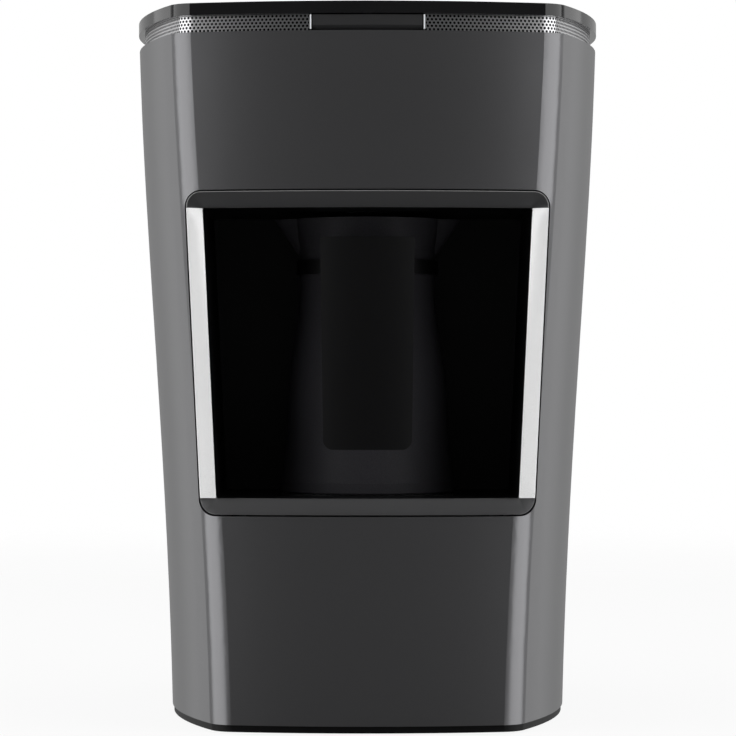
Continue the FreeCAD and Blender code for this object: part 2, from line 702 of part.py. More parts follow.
board = box("board_sheet", "-board_half_width", "board_front", "board_bottom", "2 * board_half_width",
            "board_thickness", "board_top - board_bottom")
piece("control_board", cut("board", board, *board_holes))
piece("board_screws", group("board_screw_set", *board_screws))
piece("transformer", fuse("transformer_core",
                          box("core", -42, "board_rear", "board_bottom + 25", 30, 18, 26),
                          box("coil", -37, "board_rear + 3", "board_bottom + 22", 20, 20, 32)))
piece("relay", box("relay_case", 4, "board_rear", "board_bottom + 30", 19, 15, 15.5))
piece("capacitor", rod("capacitor_can", 6.5, 16, 34, "board_rear", "board_bottom + 24", "Y"))
buzzer_can = rod("buzzer_can", 6, 7, 28, "board_rear", "board_top - 12", "Y")
piece("buzzer", cut("buzzer_shell", buzzer_can, rod("buzzer_hole", 1.2, 3, 28, "board_rear + 5",
                                                    "board_top - 12", "Y")))
plug_rows = ((-34, "board_bottom + 2"), (-9, "board_bottom + 2"), (15, "board_bottom + 2"),
             (-6, "board_top - 8"))
piece("board_connectors", group("connector_set", *[
    box("connector_%d" % i, cx, "board_rear", cz, 14, 8, 6) for i, (cx, cz) in enumerate(plug_rows)]))

# Mains terminal block and cord inlet

block = box("block_body", 6, 48, "casing_bottom", 30, 14, 16)
block_tools = []
block_screws = []
for i in range(3):
    tx = 11.5 + 9.5 * i
    block_tools.append(rod("block_hole_%d" % i, 2.5, 8, tx, 55, "casing_bottom + 9"))
    block_screws.append(rod("block_screw_%d" % i, 2.4, 5, tx, 55, "casing_bottom + 9"))
piece("terminal_block", cut("block", block, *block_tools))
piece("terminal_screws", group("terminal_screw_set", *block_screws))
gland_start = size("half_depth") - 13
gland = shaped("gland_shape", Part.makeCylinder(6, 11, Vector(0, gland_start, 0), Vector(0, 1, 0)).fuse([
    Part.makeCylinder(9.5, 2.8, Vector(0, size("half_depth") - size("casing_wall") - 3, 0), Vector(0, 1, 0)),
    Part.makeCylinder(size("inlet_radius"), size("casing_wall") + 0.3,
                      Vector(0, size("half_depth") - size("casing_wall") - 0.4, 0), Vector(0, 1, 0))]))
put(gland, 0, 0, "inlet_height")
piece("cable_gland", cut("gland", gland, rod("gland_bore", "inlet_bore", 20, 0, "half_depth - 15",
                                             "inlet_height", "Y")))

# Leads: straight runs joined by tangent arcs


def lead(points, radius):
    """One round wire along its points, each corner rounded by an arc."""
    stops = [Vector(*p) for p in points]
    edges = []
    here = stops[0]
    for i in range(1, len(stops) - 1):
        back = (stops[i - 1] - stops[i])
        ahead = (stops[i + 1] - stops[i])
        shorter = min(back.Length, ahead.Length)
        back.normalize()
        ahead.normalize()
        angle = math.pi - back.getAngle(ahead)
        bend = min(size("lead_bend"), 0.45 * shorter / math.tan(angle / 2))
        trim = bend * math.tan(angle / 2)
        start = stops[i] + back * trim
        finish = stops[i] + ahead * trim
        inward = (back + ahead).normalize()
        centre = stops[i] + inward * (bend / math.cos(angle / 2))
        middle = centre - inward * bend
        edges.append(Part.LineSegment(here, start).toShape())
        edges.append(Part.Arc(start, middle, finish).toShape())
        here = finish
    edges.append(Part.LineSegment(here, stops[-1]).toShape())
    path = Part.Wire(edges)
    ring = Part.Wire(Part.makeCircle(radius, stops[0], stops[1] - stops[0]))
    return path.makePipeShell([ring], True, False)


lead_radius = size("lead_radius")
pot_y = size("pot_y")
plug_y = size("board_rear") + 4
plug_low = size("board_bottom") + 2
plug_high = size("board_top") - 2
floor_z = size("casing_bottom")
first_end = element_ends[0]
second_end = element_ends[1] + Vector(0, pot_y, 0)


def leads(label, *routes):
    piece(label, group(label + "_set", *[
        shaped("%s_%d" % (label, i), lead(route, lead_radius)) for i, route in enumerate(routes)]))


leads("mains_leads",
      [(20, 48, floor_z + 7), (20, 41, floor_z + 7), (18, 41, 50), (18, plug_y, 76), (18, plug_y, plug_low)],
      [(29, 48, floor_z + 7), (29, 39, floor_z + 7), (25, 39, 50), (25, plug_y, 76), (25, plug_y, plug_low)])
leads("heater_leads",
      [(first_end.x, pot_y, element_low), (first_end.x, pot_y, element_low - 14), (12, 8, 36), (1, 38, 42),
       (1, plug_y, 72), (1, plug_y, plug_low)],
      [(second_end.x, second_end.y, element_low), (second_end.x, second_end.y, element_low - 20),
       (4, 4, 28), (-5, 36, 36), (-5, plug_y, 72), (-5, plug_y, plug_low)])
leads("temperature_lead",
      [(0, pot_y, size("shield_floor") + 1), (0, pot_y, 50), (-16, 6, 46), (-27, 36, 50), (-27, plug_y, 74),
       (-27, plug_y, plug_low)])
button_board_y = size("button_board_y")
leads("button_lead",
      [(-15, button_board_y + 0.8, body_top - 6), (-15, button_board_y + 0.8, 216), (-24, -40, 206),
       (-24, 22, 206), (-3, plug_y, 194), (-3, plug_y, plug_high)])
leads("foam_sensor_lead",
      [(9, pot_y + 15, size("sensor_board_z") + 0.8), (9, pot_y + 24, size("sensor_board_z") + 0.8),
       (7, 34, 196), (5, plug_y, 186), (5, plug_y, plug_high)])

# Top deck under the lid: button pocket, spoon well and hinge ears

deck_low = shaped("deck_low", slab(top_width, size("casing_wall") + 0.7, body_top - 6, body_top))
deck_high = shaped("deck_high", slab(top_width, size("band_inset") + size("band_sheet") + 0.15, body_top,
                                     deck_top))
deck_under = shaped("deck_under", slab(top_width, size("casing_wall") + 3.2, body_top - 6,
                                       deck_top - size("deck_skin")))
pocket_half = "(button_half + light_guide_width + 0.45)"
deck_shell = cut("deck_shell", fuse("deck_solid", deck_low, deck_high), deck_under)
deck_adds = [box("well_tub", "-well_half_length - 2", "well_y - well_half_width - 2", "well_floor - 2",
                 "2 * well_half_length + 4", "2 * well_half_width + 4", "well_depth + 1"),
             box("guide_wall", "-button_half - 4", "guide_wall_y", "body_top - 6", "2 * button_half + 8", 2,
                 "deck_top - body_top + 6"),
             box("pocket_floor", "-button_half - 4", "2 - half_depth + casing_wall", "body_top - 2",
                 "2 * button_half + 8", "guide_wall_y + half_depth - casing_wall", 2)]
deck_cuts = [box("well_space", "-well_half_length", "well_y - well_half_width", "well_floor",
                 "2 * well_half_length", "2 * well_half_width", 40),
             box("button_pocket", "-" + pocket_half, "-half_depth - 5", "body_top", "2 * " + pocket_half,
                 "guide_wall_y + half_depth + 5", 20),
             box("hinge_bay", "-hinge_bay_half", "hinge_y - knuckle_radius - 1", "hinge_z - 3.4",
                 "2 * hinge_bay_half", 20, 20),
             box("stem_hole", "-1.5 - seat_gap", "guide_wall_y - 1", "button_middle - 1.5 - seat_gap",
                 "3 + 2 * seat_gap", 4, "3 + 2 * seat_gap")]
deck_screws = []
for i, (sx, sy) in enumerate(((1, 1), (-1, 1), (-1, -1), (1, -1))):
    dx = "%d * deck_boss_x" % sx
    dy = "%d * deck_boss_y" % sy
    deck_adds.append(rod("deck_column_%d" % i, "boss_radius - 0.4", "deck_top - body_top + 5.9", dx, dy,
                         "body_top - 6"))
    deck_cuts.append(rod("deck_bore_%d" % i, "screw_radius + screw_gap", 30, dx, dy, "body_top - 10"))
    deck_cuts.append(rod("deck_sink_%d" % i, "screw_head + screw_gap", 20, dx, dy, "body_top"))
    deck_screws.append(screw("deck_screw_%d" % i, dx, dy, "body_top", 18))
ear_parts = []
for i, sx in enumerate((1, -1)):
    ear_x = "knuckle_split" if sx > 0 else "-ear_end"
    length = "ear_end - knuckle_split"
    ear_parts.append(rod("ear_eye_%d" % i, "knuckle_radius", length, ear_x, "hinge_y", "hinge_z", "X"))
    ear_parts.append(box("ear_stem_%d" % i, ear_x, "hinge_y - knuckle_radius - 1.5", "body_top + 0.2", length,
                         "knuckle_radius + 1.5 + 1.6", "lid_bottom - body_top - 0.2 - slide_gap"))
ear_holes = [rod("ear_hole_%d" % i, "pin_radius + 0.02", 12.2, x, "hinge_y", "hinge_z", "X")
             for i, x in enumerate(("knuckle_start", "-knuckle_start - 12.2"))]
board_posts = [box("board_post_%d" % i, x, "guide_wall_y + 1.5", "body_top - 3", 3,
                   "button_board_y - guide_wall_y - 1.5", "deck_top - body_top + 1")
               for i, x in enumerate((17.5, -20.5))]
deck_cuts.append(box("switch_bay", -22.5, "guide_wall_back", "body_top - 8", 45,
                     "button_board_y + board_thickness + 0.3 - guide_wall_back", "deck_top - body_top + 7.2"))
deck_body = cut("deck_body", fuse("deck_fused", deck_shell, *deck_adds), *deck_cuts)
piece("top_deck", cut("deck", fuse("deck_with_ears", deck_body, *(ear_parts + board_posts)), *ear_holes))
piece("deck_screws", group("deck_screw_set", *deck_screws))

# Perforated band, in two lengths between the button and the hinge bay

lid_level = size("lid_bottom") - 0.1
ring = shaped("band_ring", slab(top_width, size("band_inset"), body_top, lid_level)
              .cut(slab(top_width, size("band_inset") + size("band_sheet"), body_top - 1, lid_level + 1)))
for label, x in (("perforated_band_left", "-200"), ("perforated_band_right", "0")):
    side = box(label + "_side", x, -200, "body_top - 1", 200, 400, 20)
    gate = box(label + "_button", "-button_half - light_guide_width - 0.6", -200, "body_top - 1",
               "2 * button_half + 2 * light_guide_width + 1.2", 200, 20)
    bay = box(label + "_bay", "-hinge_bay_half", 0, "body_top - 1", "2 * hinge_bay_half", 200, 20)
    piece(label, cut(label + "_cut", common(label + "_half", ring, side), gate, bay))

# Lid: a flat plate with knuckles at its rear edge

lid_bottom = size("lid_bottom")
lid_plate = shaped("lid_plate", slab(size("lid_width"), 0, lid_bottom, size("total_height")))
lid_relief = shaped("lid_relief", slab(size("lid_width"), 9, lid_bottom - 1, lid_bottom + 2))
relief_keep = box("relief_keep", -200, "hinge_y - 10", "lid_bottom - 2", 400, 100, 10)
lid_parts = [cut("lid_hollowed", lid_plate, cut("lid_relief_cut", lid_relief, relief_keep))]
lid_tools = []
for i, sx in enumerate((1, -1)):
    eye_x = "knuckle_start" if sx > 0 else "-knuckle_split + slide_gap"
    lid_parts.append(rod("lid_eye_%d" % i, "knuckle_radius", "knuckle_split - knuckle_start - slide_gap",
                         eye_x, "hinge_y", "hinge_z", "X"))
    slot_x = "knuckle_split - slide_gap" if sx > 0 else "-ear_end - slide_gap"
    lid_tools.append(box("ear_slot_%d" % i, slot_x, "hinge_y - knuckle_radius - 0.5", "lid_bottom - 3",
                         "ear_end - knuckle_split + 2 * slide_gap", 20, 20))
    bore_x = "knuckle_start" if sx > 0 else "-knuckle_split - 1"
    lid_tools.append(rod("lid_bore_%d" % i, "pin_radius + pin_gap", "knuckle_split - knuckle_start + 1",
                         bore_x, "hinge_y", "hinge_z", "X"))
piece("lid", cut("lid_body", fuse("lid_fused", *lid_parts), *lid_tools))
piece("lid_hinge_pins", group("pin_set", *[
    rod("pin_%d" % i, "pin_radius", 12, x, "hinge_y", "hinge_z", "X")
    for i, x in enumerate(("knuckle_start + 0.1", "-knuckle_start - 12.1"))]))
piece("lid_pads", group("pad_set", *[
    rod("pad_%d" % i, 3, "slide_gap", x, y, "deck_top")
    for i, (x, y) in enumerate(((40, -66), (-40, -66), (74, 0), (-74, 0)))]))

# Start button, its switch, board and lights

button_radius = front_radius - size("button_setback")
button_low = size("button_bottom")
button_high = button_low + size("button_height")
button_half = size("button_half")
button_block = Part.makeBox(2 * button_half, 20, size("button_height"),
                            Vector(-button_half, size("button_back") - 20, button_low))
button_round = Part.makeCylinder(button_radius, 40, Vector(0, arc_centre_y, button_low - 5))
button_block = button_block.common(button_round)
bevel_size = 1.4
bevel_start = Vector(button_radius - bevel_size, arc_centre_y, button_low)
bevel_line = Part.makePolygon([
    bevel_start, Vector(button_radius + 2, arc_centre_y, button_low),
    Vector(button_radius + 2, arc_centre_y, button_low + bevel_size + 2), bevel_start])
bevel_ring = Part.Face(bevel_line).revolve(Vector(0, arc_centre_y, 0), Vector(0, 0, 1), 360)
button_block = button_block.cut(bevel_ring)
button_face = shaped("button_face", button_block)
stem = box("button_stem", -1.5, "button_back - 0.5", "button_middle - 1.5",
           3, "stem_end - button_back + 0.5", 3)
piece("start_button", fuse("button", button_face, stem))
guides = [box("light_guide_%d" % i, x, "button_front + 0.3", "button_bottom", "light_guide_width", 5,
              "button_height")
          for i, x in enumerate(("button_half + 0.35", "-button_half - 0.35 - light_guide_width"))]
piece("button_light_guides", group("light_guide_set", *guides))
piece("button_board", box("button_sheet", -22, "button_board_y", "body_top - 6", 44, "board_thickness", 10.5))
switch_case = box("switch_case", -3, "switch_front + 0.7", "button_middle - 3", 6,
                  "button_board_y - switch_front - 0.7", 4.6)
switch_tip = rod("switch_tip", 1.4, 1, 0, "switch_front", "button_middle", "Y")
piece("tact_switch", fuse("switch", switch_case, switch_tip))
piece("status_leds", group("led_set", *[
    box("led_%d" % i, x, "button_board_y - 1.2", "button_middle - 1", 2.4, 1.2, 2)
    for i, x in enumerate((12, -14.4))]))

# Measuring spoon lying in the well

spoon_z = size("well_floor") + 13
bowl = Part.makeSphere(13, Vector(28, 0, spoon_z)).cut(Part.makeSphere(12, Vector(28, 0, spoon_z)))
bowl = bowl.common(Part.makeCylinder(20, 20, Vector(28, 0, spoon_z - 20)))
arm = Part.makeBox(60, 8, 2, Vector(-43, -4, spoon_z - 2)).cut(Part.makeSphere(12.5, Vector(28, 0, spoon_z)))
spoon = shaped("spoon_shape", bowl.fuse(arm).removeSplitter())
put(spoon, 0, "well_y", 0)
piece("measuring_spoon", spoon)

# Coffee pot: turned body with two side spouts, steel base, handle and its fixing

wall = size("pot_wall")
pot_low = size("pot_body_bottom")
pot_high = size("pot_top")
neck = size("pot_neck_radius")
waist = size("pot_waist_radius")
base = size("pot_base_radius")
rim = size("pot_rim_radius")
neck_low = pot_low + 54.0
neck_high = pot_high - 11.0


def pot_form(inset, low, high):
    """The pot's turned form, drawn inwards by inset, with its two spouts."""
    line = [Vector(0, 0, low), Vector(base - 0.2 - inset, 0, low)]
    curve = Part.BSplineCurve()
    curve.interpolate([Vector(base - 0.2 - inset, 0, low), Vector(base - 2.6 - inset, 0, pot_low + 20),
                       Vector(waist + 0.3 - inset, 0, pot_low + 40), Vector(neck + 1.2 - inset, 0, neck_low),
                       Vector(neck - inset, 0, neck_low + 12)])
    edges = [Part.makeLine(line[0], line[1]), curve.toShape()]
    corner = Vector(neck - inset, 0, neck_low + 12)
    flare = Vector(neck - inset, 0, neck_high)
    lip = Vector(rim - inset, 0, high)
    edges.append(Part.makeLine(corner, flare))
    edges.append(Part.makeLine(flare, lip))
    edges.append(Part.makeLine(lip, Vector(0, 0, high)))
    edges.append(Part.makeLine(Vector(0, 0, high), line[0]))
    form = Part.Face(Part.Wire(edges)).revolve(Vector(), Vector(0, 0, 1), 360)
    spout_radius = 9.5 - inset
    spout_x = size("spout_reach") - 9.5
    for sign in (1, -1):
        start = Vector(sign * (spout_x - 3.5), 0, neck_high - 4)
        beak = Part.makeCone(spout_radius * 0.28, spout_radius, high - neck_high + 4, start, Vector(0, 0, 1))
        lean = FreeCAD.Matrix()
        lean.A13 = sign * 3.5 / (high - neck_high + 4)
        lean.A14 = -sign * 3.5 * (neck_high - 4) / (high - neck_high + 4)
        form = form.fuse(beak.transformGeometry(lean))
    return form


pot_shell = pot_form(0, pot_low, pot_high).cut(pot_form(wall, pot_low + wall, pot_high + 2))
pot_cap = Part.makeCylinder(60, 10, Vector(0, 0, pot_high))
pot = shaped("pot_shape", pot_shell.cut(pot_cap).removeSplitter())
put(pot, 0, "pot_y", 0)
piece("pot_body", pot)
piece("pot_base", turned("pot_foot", 0, "pot_y", 0, [
    (0, "pot_bottom"), ("pot_base_radius - 0.5", "pot_bottom"), ("pot_base_radius", "pot_bottom + 0.5"),
    ("pot_base_radius", "pot_body_bottom"), (0, "pot_body_bottom")]))

grip_front = size("grip_front")
grip_back = size("grip_back")
grip_top = size("grip_top")
grip_low = size("grip_bottom")
half_top = size("grip_half_top")
half_low = size("grip_half_bottom")
crown = size("grip_crown")
grip_outline = Part.makePolygon([
    Vector(-half_low, grip_front - 5, grip_low), Vector(half_low, grip_front - 5, grip_low),
    Vector(half_top, grip_front - 5, grip_top), Vector(-half_top, grip_front - 5, grip_top),
    Vector(-half_low, grip_front - 5, grip_low)])
grip = Part.Face(grip_outline).extrude(Vector(0, grip_back - grip_front + 5, 0))
low_edges = []
for edge in grip.Edges:
    start, end = edge.Vertexes[0], edge.Vertexes[-1]
    if max(abs(start.Z - grip_low), abs(end.Z - grip_low)) < 0.1 and abs(start.Y - end.Y) > 5:
        low_edges.append(edge)
grip = grip.makeFillet(3.4, low_edges)
grip = grip.common(Part.makeCylinder(crown, 200, Vector(0, grip_front + crown, 0)))
arm_low = grip_top - 13
arm_end = pot_y - neck - 1.4
arm_half = 12.0
arm = Part.makeBox(2 * arm_half, arm_end - grip_back + 1, grip_top - arm_low,
                   Vector(-arm_half, grip_back - 1, arm_low))
neck_bore = Part.makeCylinder(neck + 1.35, 30, Vector(0, pot_y, arm_low - 5))
handle = grip.fuse(arm).cut(neck_bore)
lug_half = 6.0
lug_y = arm_end - 10
lug_low = grip_top - 11.5
lug_high = grip_top - 6.5
handle = handle.cut(Part.makeBox(2 * lug_half + 0.2, 40, lug_high - lug_low + 0.2,
                                 Vector(-lug_half - 0.1, lug_y - 0.1, lug_low - 0.1)))
inlay = size("inlay_sheet")
inlay_low = grip_top - size("inlay_height")
inlay_depth = 6.0
screw_y = arm_end - 6
inlays = []
for sign in (1, -1):
    edge = half_top - inlay
    block = Part.makeBox(5, inlay_depth, size("inlay_height"),
                         Vector(edge if sign > 0 else -edge - 5, grip_back - inlay_depth, inlay_low))
    inlays.append(grip.common(block))
    handle = handle.cut(block)
piece("pot_handle", cut("handle", shaped("handle_shape", handle),
                        shaped("handle_bore", Part.makeCylinder(1.55, lug_high - arm_low + 1,
                                                                Vector(0, screw_y, arm_low - 1))),
                        shaped("handle_sink", Part.makeCylinder(2.6, 2, Vector(0, screw_y, arm_low - 0.1)))))
piece("handle_inlay", shaped("inlay_shape", Part.makeCompound(inlays)))
collar = Part.makeCylinder(neck + 1.2, lug_high - lug_low, Vector(0, pot_y, lug_low))
collar = collar.fuse(Part.makeBox(2 * lug_half, 14, lug_high - lug_low, Vector(-lug_half, lug_y, lug_low)))
collar = collar.cut(Part.makeCylinder(neck + 0.05, 20, Vector(0, pot_y, lug_low - 5)))
collar = collar.cut(Part.makeCylinder(1.55, 20, Vector(0, screw_y, lug_low - 5)))
piece("handle_bracket", shaped("collar_shape", collar))
handle_bolt = Part.makeCylinder(1.5, lug_high - arm_low - 1.5, Vector(0, screw_y, arm_low + 1.5))
handle_bolt = handle_bolt.fuse(Part.makeCylinder(2.5, 1.4, Vector(0, screw_y, arm_low + 0.1)))
piece("handle_screw", shaped("bolt_shape", handle_bolt))

# Recompute, look for failures and write each piece

doc.recompute()
faults = []
for obj in doc.Objects:
    if any(state in obj.State for state in ("Invalid", "Error")):
        faults.append("%s %s" % (obj.Name, obj.State))
for label, obj in PIECES.items():
    shape = obj.Shape
    if shape.isNull() or not shape.isValid() or not shape.Solids:
        faults.append("%s has no valid solid" % label)
if faults:
    raise SystemExit("\n".join(faults))
os.makedirs("parts", exist_ok=True)
for label, obj in PIECES.items():
    obj.Shape.exportStep("parts/%s.step" % label)
    print("%-24s solids %2d  volume %9.1f mm3" % (label, len(obj.Shape.Solids), obj.Shape.Volume))
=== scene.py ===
"""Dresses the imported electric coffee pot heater: finishes, visible skins, studio and camera."""

import json
import math

import bmesh
import bpy
from bpy.props import FloatProperty, FloatVectorProperty, IntProperty, PointerProperty
from bpy.types import Operator, Panel, PropertyGroup
from mathutils import Matrix, Vector


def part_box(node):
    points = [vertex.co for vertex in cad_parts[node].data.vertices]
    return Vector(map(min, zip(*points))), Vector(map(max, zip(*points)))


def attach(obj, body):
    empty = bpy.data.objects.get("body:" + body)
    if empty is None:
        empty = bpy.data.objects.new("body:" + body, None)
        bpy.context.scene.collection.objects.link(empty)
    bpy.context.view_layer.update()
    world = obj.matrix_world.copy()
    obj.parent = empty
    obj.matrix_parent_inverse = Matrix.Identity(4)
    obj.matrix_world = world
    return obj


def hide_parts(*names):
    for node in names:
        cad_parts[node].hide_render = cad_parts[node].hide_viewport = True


bl_info = {
    "name": "Turkish Coffee Maker Dressing",
    "version": (1, 0, 0),
    "blender": (4, 5, 0),
    "location": "View3D > Sidebar > Coffee Maker",
    "description": "Finishes, perforated band, window trim and studio for a packed coffee maker",
    "category": "Object",
}

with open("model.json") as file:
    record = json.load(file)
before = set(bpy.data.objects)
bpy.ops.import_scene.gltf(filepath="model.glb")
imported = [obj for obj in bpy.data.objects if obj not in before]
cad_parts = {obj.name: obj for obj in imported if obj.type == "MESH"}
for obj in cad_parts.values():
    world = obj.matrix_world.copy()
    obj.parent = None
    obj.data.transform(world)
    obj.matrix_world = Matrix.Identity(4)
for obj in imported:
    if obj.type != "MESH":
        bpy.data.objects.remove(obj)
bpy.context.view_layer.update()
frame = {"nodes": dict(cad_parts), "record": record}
NODES = frame["nodes"]
WELD = 0.00001


class Signal:
    """A shader socket that takes part in Python arithmetic."""

    def __init__(self, tree, socket):
        self.tree = tree
        self.socket = socket

    def math(self, operation, *others):
        node = self.tree.nodes.new("ShaderNodeMath")
        node.operation = operation
        for place, value in enumerate((self,) + others):
            if isinstance(value, Signal):
                self.tree.links.new(value.socket, node.inputs[place])
            else:
                node.inputs[place].default_value = value
        return Signal(self.tree, node.outputs[0])

    def __add__(self, other):
        return self.math("ADD", other)

    def __radd__(self, other):
        return self.math("ADD", other)

    def __sub__(self, other):
        return self.math("SUBTRACT", other)

    def __rsub__(self, other):
        node = self.tree.nodes.new("ShaderNodeMath")
        node.operation = "SUBTRACT"
        node.inputs[0].default_value = other
        self.tree.links.new(self.socket, node.inputs[1])
        return Signal(self.tree, node.outputs[0])

    def __mul__(self, other):
        return self.math("MULTIPLY", other)


class Recipe:
    """A node tree being filled in, for a material or for the world."""

    def __init__(self, tree):
        self.tree = tree
        tree.nodes.clear()

    def node(self, kind, settings=None, sockets=None, output=0):
        """Adds one node: its settings first, then the values or links of its sockets."""
        node = self.tree.nodes.new(kind)
        for key, value in (settings or {}).items():
            setattr(node, key, value)
        for key, value in (sockets or {}).items():
            if isinstance(value, Signal):
                self.tree.links.new(value.socket, node.inputs[key])
            else:
                node.inputs[key].default_value = value
        if not node.outputs:
            return None
        return Signal(self.tree, node.outputs[output])

    def place(self):
        return self.node("ShaderNodeTexCoord", output="Object")

    def noise(self, scale, detail=2.0, stretch=(1.0, 1.0, 1.0)):
        """Noise whose scale counts cells to a metre."""
        spot = self.node("ShaderNodeMapping", None, {"Vector": self.place(), "Scale": stretch})
        return self.node(
            "ShaderNodeTexNoise",
            {"noise_dimensions": "3D"},
            {"Vector": spot, "Scale": scale, "Detail": detail},
        )

    def shades(self, dark, light, factor):
        """A colour between two others."""
        return self.node(
            "ShaderNodeMix",
            {"data_type": "RGBA"},
            {0: factor, 6: (*dark, 1.0), 7: (*light, 1.0)},
            output=2,
        )

    def bump(self, height, strength, distance):
        return self.node(
            "ShaderNodeBump", None, {"Height": height, "Strength": strength, "Distance": distance}
        )


def recipe(name):
    material = bpy.data.materials.new(name)
    material.use_nodes = True
    return material, Recipe(material.node_tree)


def finish_surface(material, mix, **sockets):
    """Closes a recipe with the surface shader and its output."""
    names = {
        "color": "Base Color",
        "metal": "Metallic",
        "rough": "Roughness",
        "normal": "Normal",
        "ior": "IOR",
        "specular": "Specular IOR Level",
        "alpha": "Alpha",
    }
    values = {}
    for key, value in sockets.items():
        if key == "color" and not isinstance(value, Signal):
            value = (*value, 1.0)
        values[names[key]] = value
    shader = mix.node("ShaderNodeBsdfPrincipled", None, values)
    mix.node("ShaderNodeOutputMaterial", None, {"Surface": shader})
    return material


def scaled(color, factor):
    return tuple(channel * factor for channel in color)


def metallic_paint(name, color, flake, rough):
    """Satin paint with fine metal flake and a trace of orange peel."""
    material, mix = recipe(name)
    flakes = mix.noise(5200.0, 1.0)
    clouds = mix.noise(9.0, 3.0)
    tone = flakes * 0.7 + clouds * 0.3
    color_now = mix.shades(scaled(color, 1 - flake), scaled(color, 1 + flake), tone)
    peel = mix.noise(620.0, 2.0)
    return finish_surface(
        material,
        mix,
        color=color_now,
        metal=0.85,
        rough=rough - 0.03 + clouds * 0.06,
        normal=mix.bump(peel + flakes * 0.3, 0.05, 0.00004),
    )


def moulded_gloss(name, color, rough, specular):
    """Glossy plastic with hairline wear and a little dust."""
    material, mix = recipe(name)
    hairlines = mix.noise(900.0, 2.0, (1.0, 14.0, 14.0))
    clouds = mix.noise(40.0, 3.0)
    tone = mix.shades(scaled(color, 0.8), scaled(color, 1.3), clouds)
    return finish_surface(
        material,
        mix,
        color=tone,
        rough=rough + hairlines * 0.05 + clouds * 0.03,
        specular=specular,
        normal=mix.bump(clouds, 0.03, 0.0001),
    )


def moulded_satin(name, color, rough, specular, grain=1500.0, relief=0.18):
    """Spark-eroded plastic: a fine even grain."""
    material, mix = recipe(name)
    fine = mix.noise(grain, 2.0)
    clouds = mix.noise(22.0, 3.0)
    tone = mix.shades(scaled(color, 0.8), scaled(color, 1.25), fine * 0.6 + clouds * 0.4)
    return finish_surface(
        material,
        mix,
        color=tone,
        rough=rough - 0.04 + clouds * 0.08,
        specular=specular,
        normal=mix.bump(fine, relief, 0.00005),
    )


def brushed_metal(name, color, rough, metal=1.0):
    """Metal with a drawn or brushed grain along one direction."""
    material, mix = recipe(name)
    lines = mix.noise(900.0, 3.0, (1.0, 30.0, 30.0))
    clouds = mix.noise(35.0, 3.0)
    tone = mix.shades(scaled(color, 0.86), scaled(color, 1.1), lines * 0.6 + clouds * 0.4)
    return finish_surface(
        material,
        mix,
        color=tone,
        metal=metal,
        rough=rough - 0.05 + lines * 0.1,
        normal=mix.bump(lines, 0.08, 0.00003),
    )


def cast_metal(name, color, rough):
    """Metal with a soft mottle, as on castings and platings."""
    material, mix = recipe(name)
    grain = mix.noise(1300.0, 3.0)
    clouds = mix.noise(70.0, 3.0)
    tone = mix.shades(scaled(color, 0.82), scaled(color, 1.1), grain * 0.4 + clouds * 0.6)
    return finish_surface(
        material,
        mix,
        color=tone,
        metal=1.0,
        rough=rough - 0.04 + clouds * 0.1,
        normal=mix.bump(grain, 0.12, 0.00004),
    )


def baked_coating(name, color, rough):
    """Non-stick coating with fine speckle."""
    material, mix = recipe(name)
    speckle = mix.noise(2600.0, 2.0)
    clouds = mix.noise(30.0, 3.0)
    tone = mix.shades(scaled(color, 0.75), scaled(color, 1.6), speckle * speckle)
    return finish_surface(
        material,
        mix,
        color=tone,
        rough=rough - 0.04 + clouds * 0.08,
        specular=0.12,
        normal=mix.bump(speckle, 0.12, 0.00004),
    )


def soft_rubber(name, color):
    """Matt rubber with bloom."""
    material, mix = recipe(name)
    fine = mix.noise(1800.0, 3.0)
    bloom = mix.noise(60.0, 3.0)
    tone = mix.shades(scaled(color, 0.8), scaled(color, 1.5), bloom * 0.7 + fine * 0.3)
    return finish_surface(
        material,
        mix,
        color=tone,
        rough=0.72 + bloom * 0.12,
        specular=0.3,
        normal=mix.bump(fine, 0.2, 0.00006),
    )


def laminate_board(name, color):
    """Green circuit board whose copper runs show under the lacquer."""
    material, mix = recipe(name)
    spot = mix.place()
    weave = mix.noise(2400.0, 1.0)
    runs = mix.node(
        "ShaderNodeTexBrick",
        {"offset": 0.5},
        {
            "Vector": spot, "Scale": 160.0, "Mortar Size": 0.04,
            "Color1": (0, 0, 0, 1), "Color2": (0, 0, 0, 1), "Mortar": (1, 1, 1, 1),
        },
        output=1,
    )
    tone = mix.shades(scaled(color, 0.8), scaled(color, 1.9), runs * 0.75 + weave * 0.25)
    return finish_surface(
        material,
        mix,
        color=tone,
        rough=0.3 + weave * 0.1,
        normal=mix.bump(runs, 0.15, 0.00005),
    )


def tinted_window(name, color):
    """Clear tinted plastic."""
    material, mix = recipe(name)
    clouds = mix.noise(50.0, 2.0)
    tone = mix.shades(scaled(color, 0.9), color, clouds)
    return finish_surface(
        material,
        mix,
        color=tone,
        rough=0.05 + clouds * 0.05,
        alpha=0.35,
        ior=1.49,
    )


def lit_plastic(name, color):
    """The pale acrylic of the light guides at the ends of the button."""
    material, mix = recipe(name)
    clouds = mix.noise(300.0, 2.0)
    tone = mix.shades(scaled(color, 0.85), color, clouds)
    return finish_surface(material, mix, color=tone, rough=0.12 + clouds * 0.1, ior=1.49)


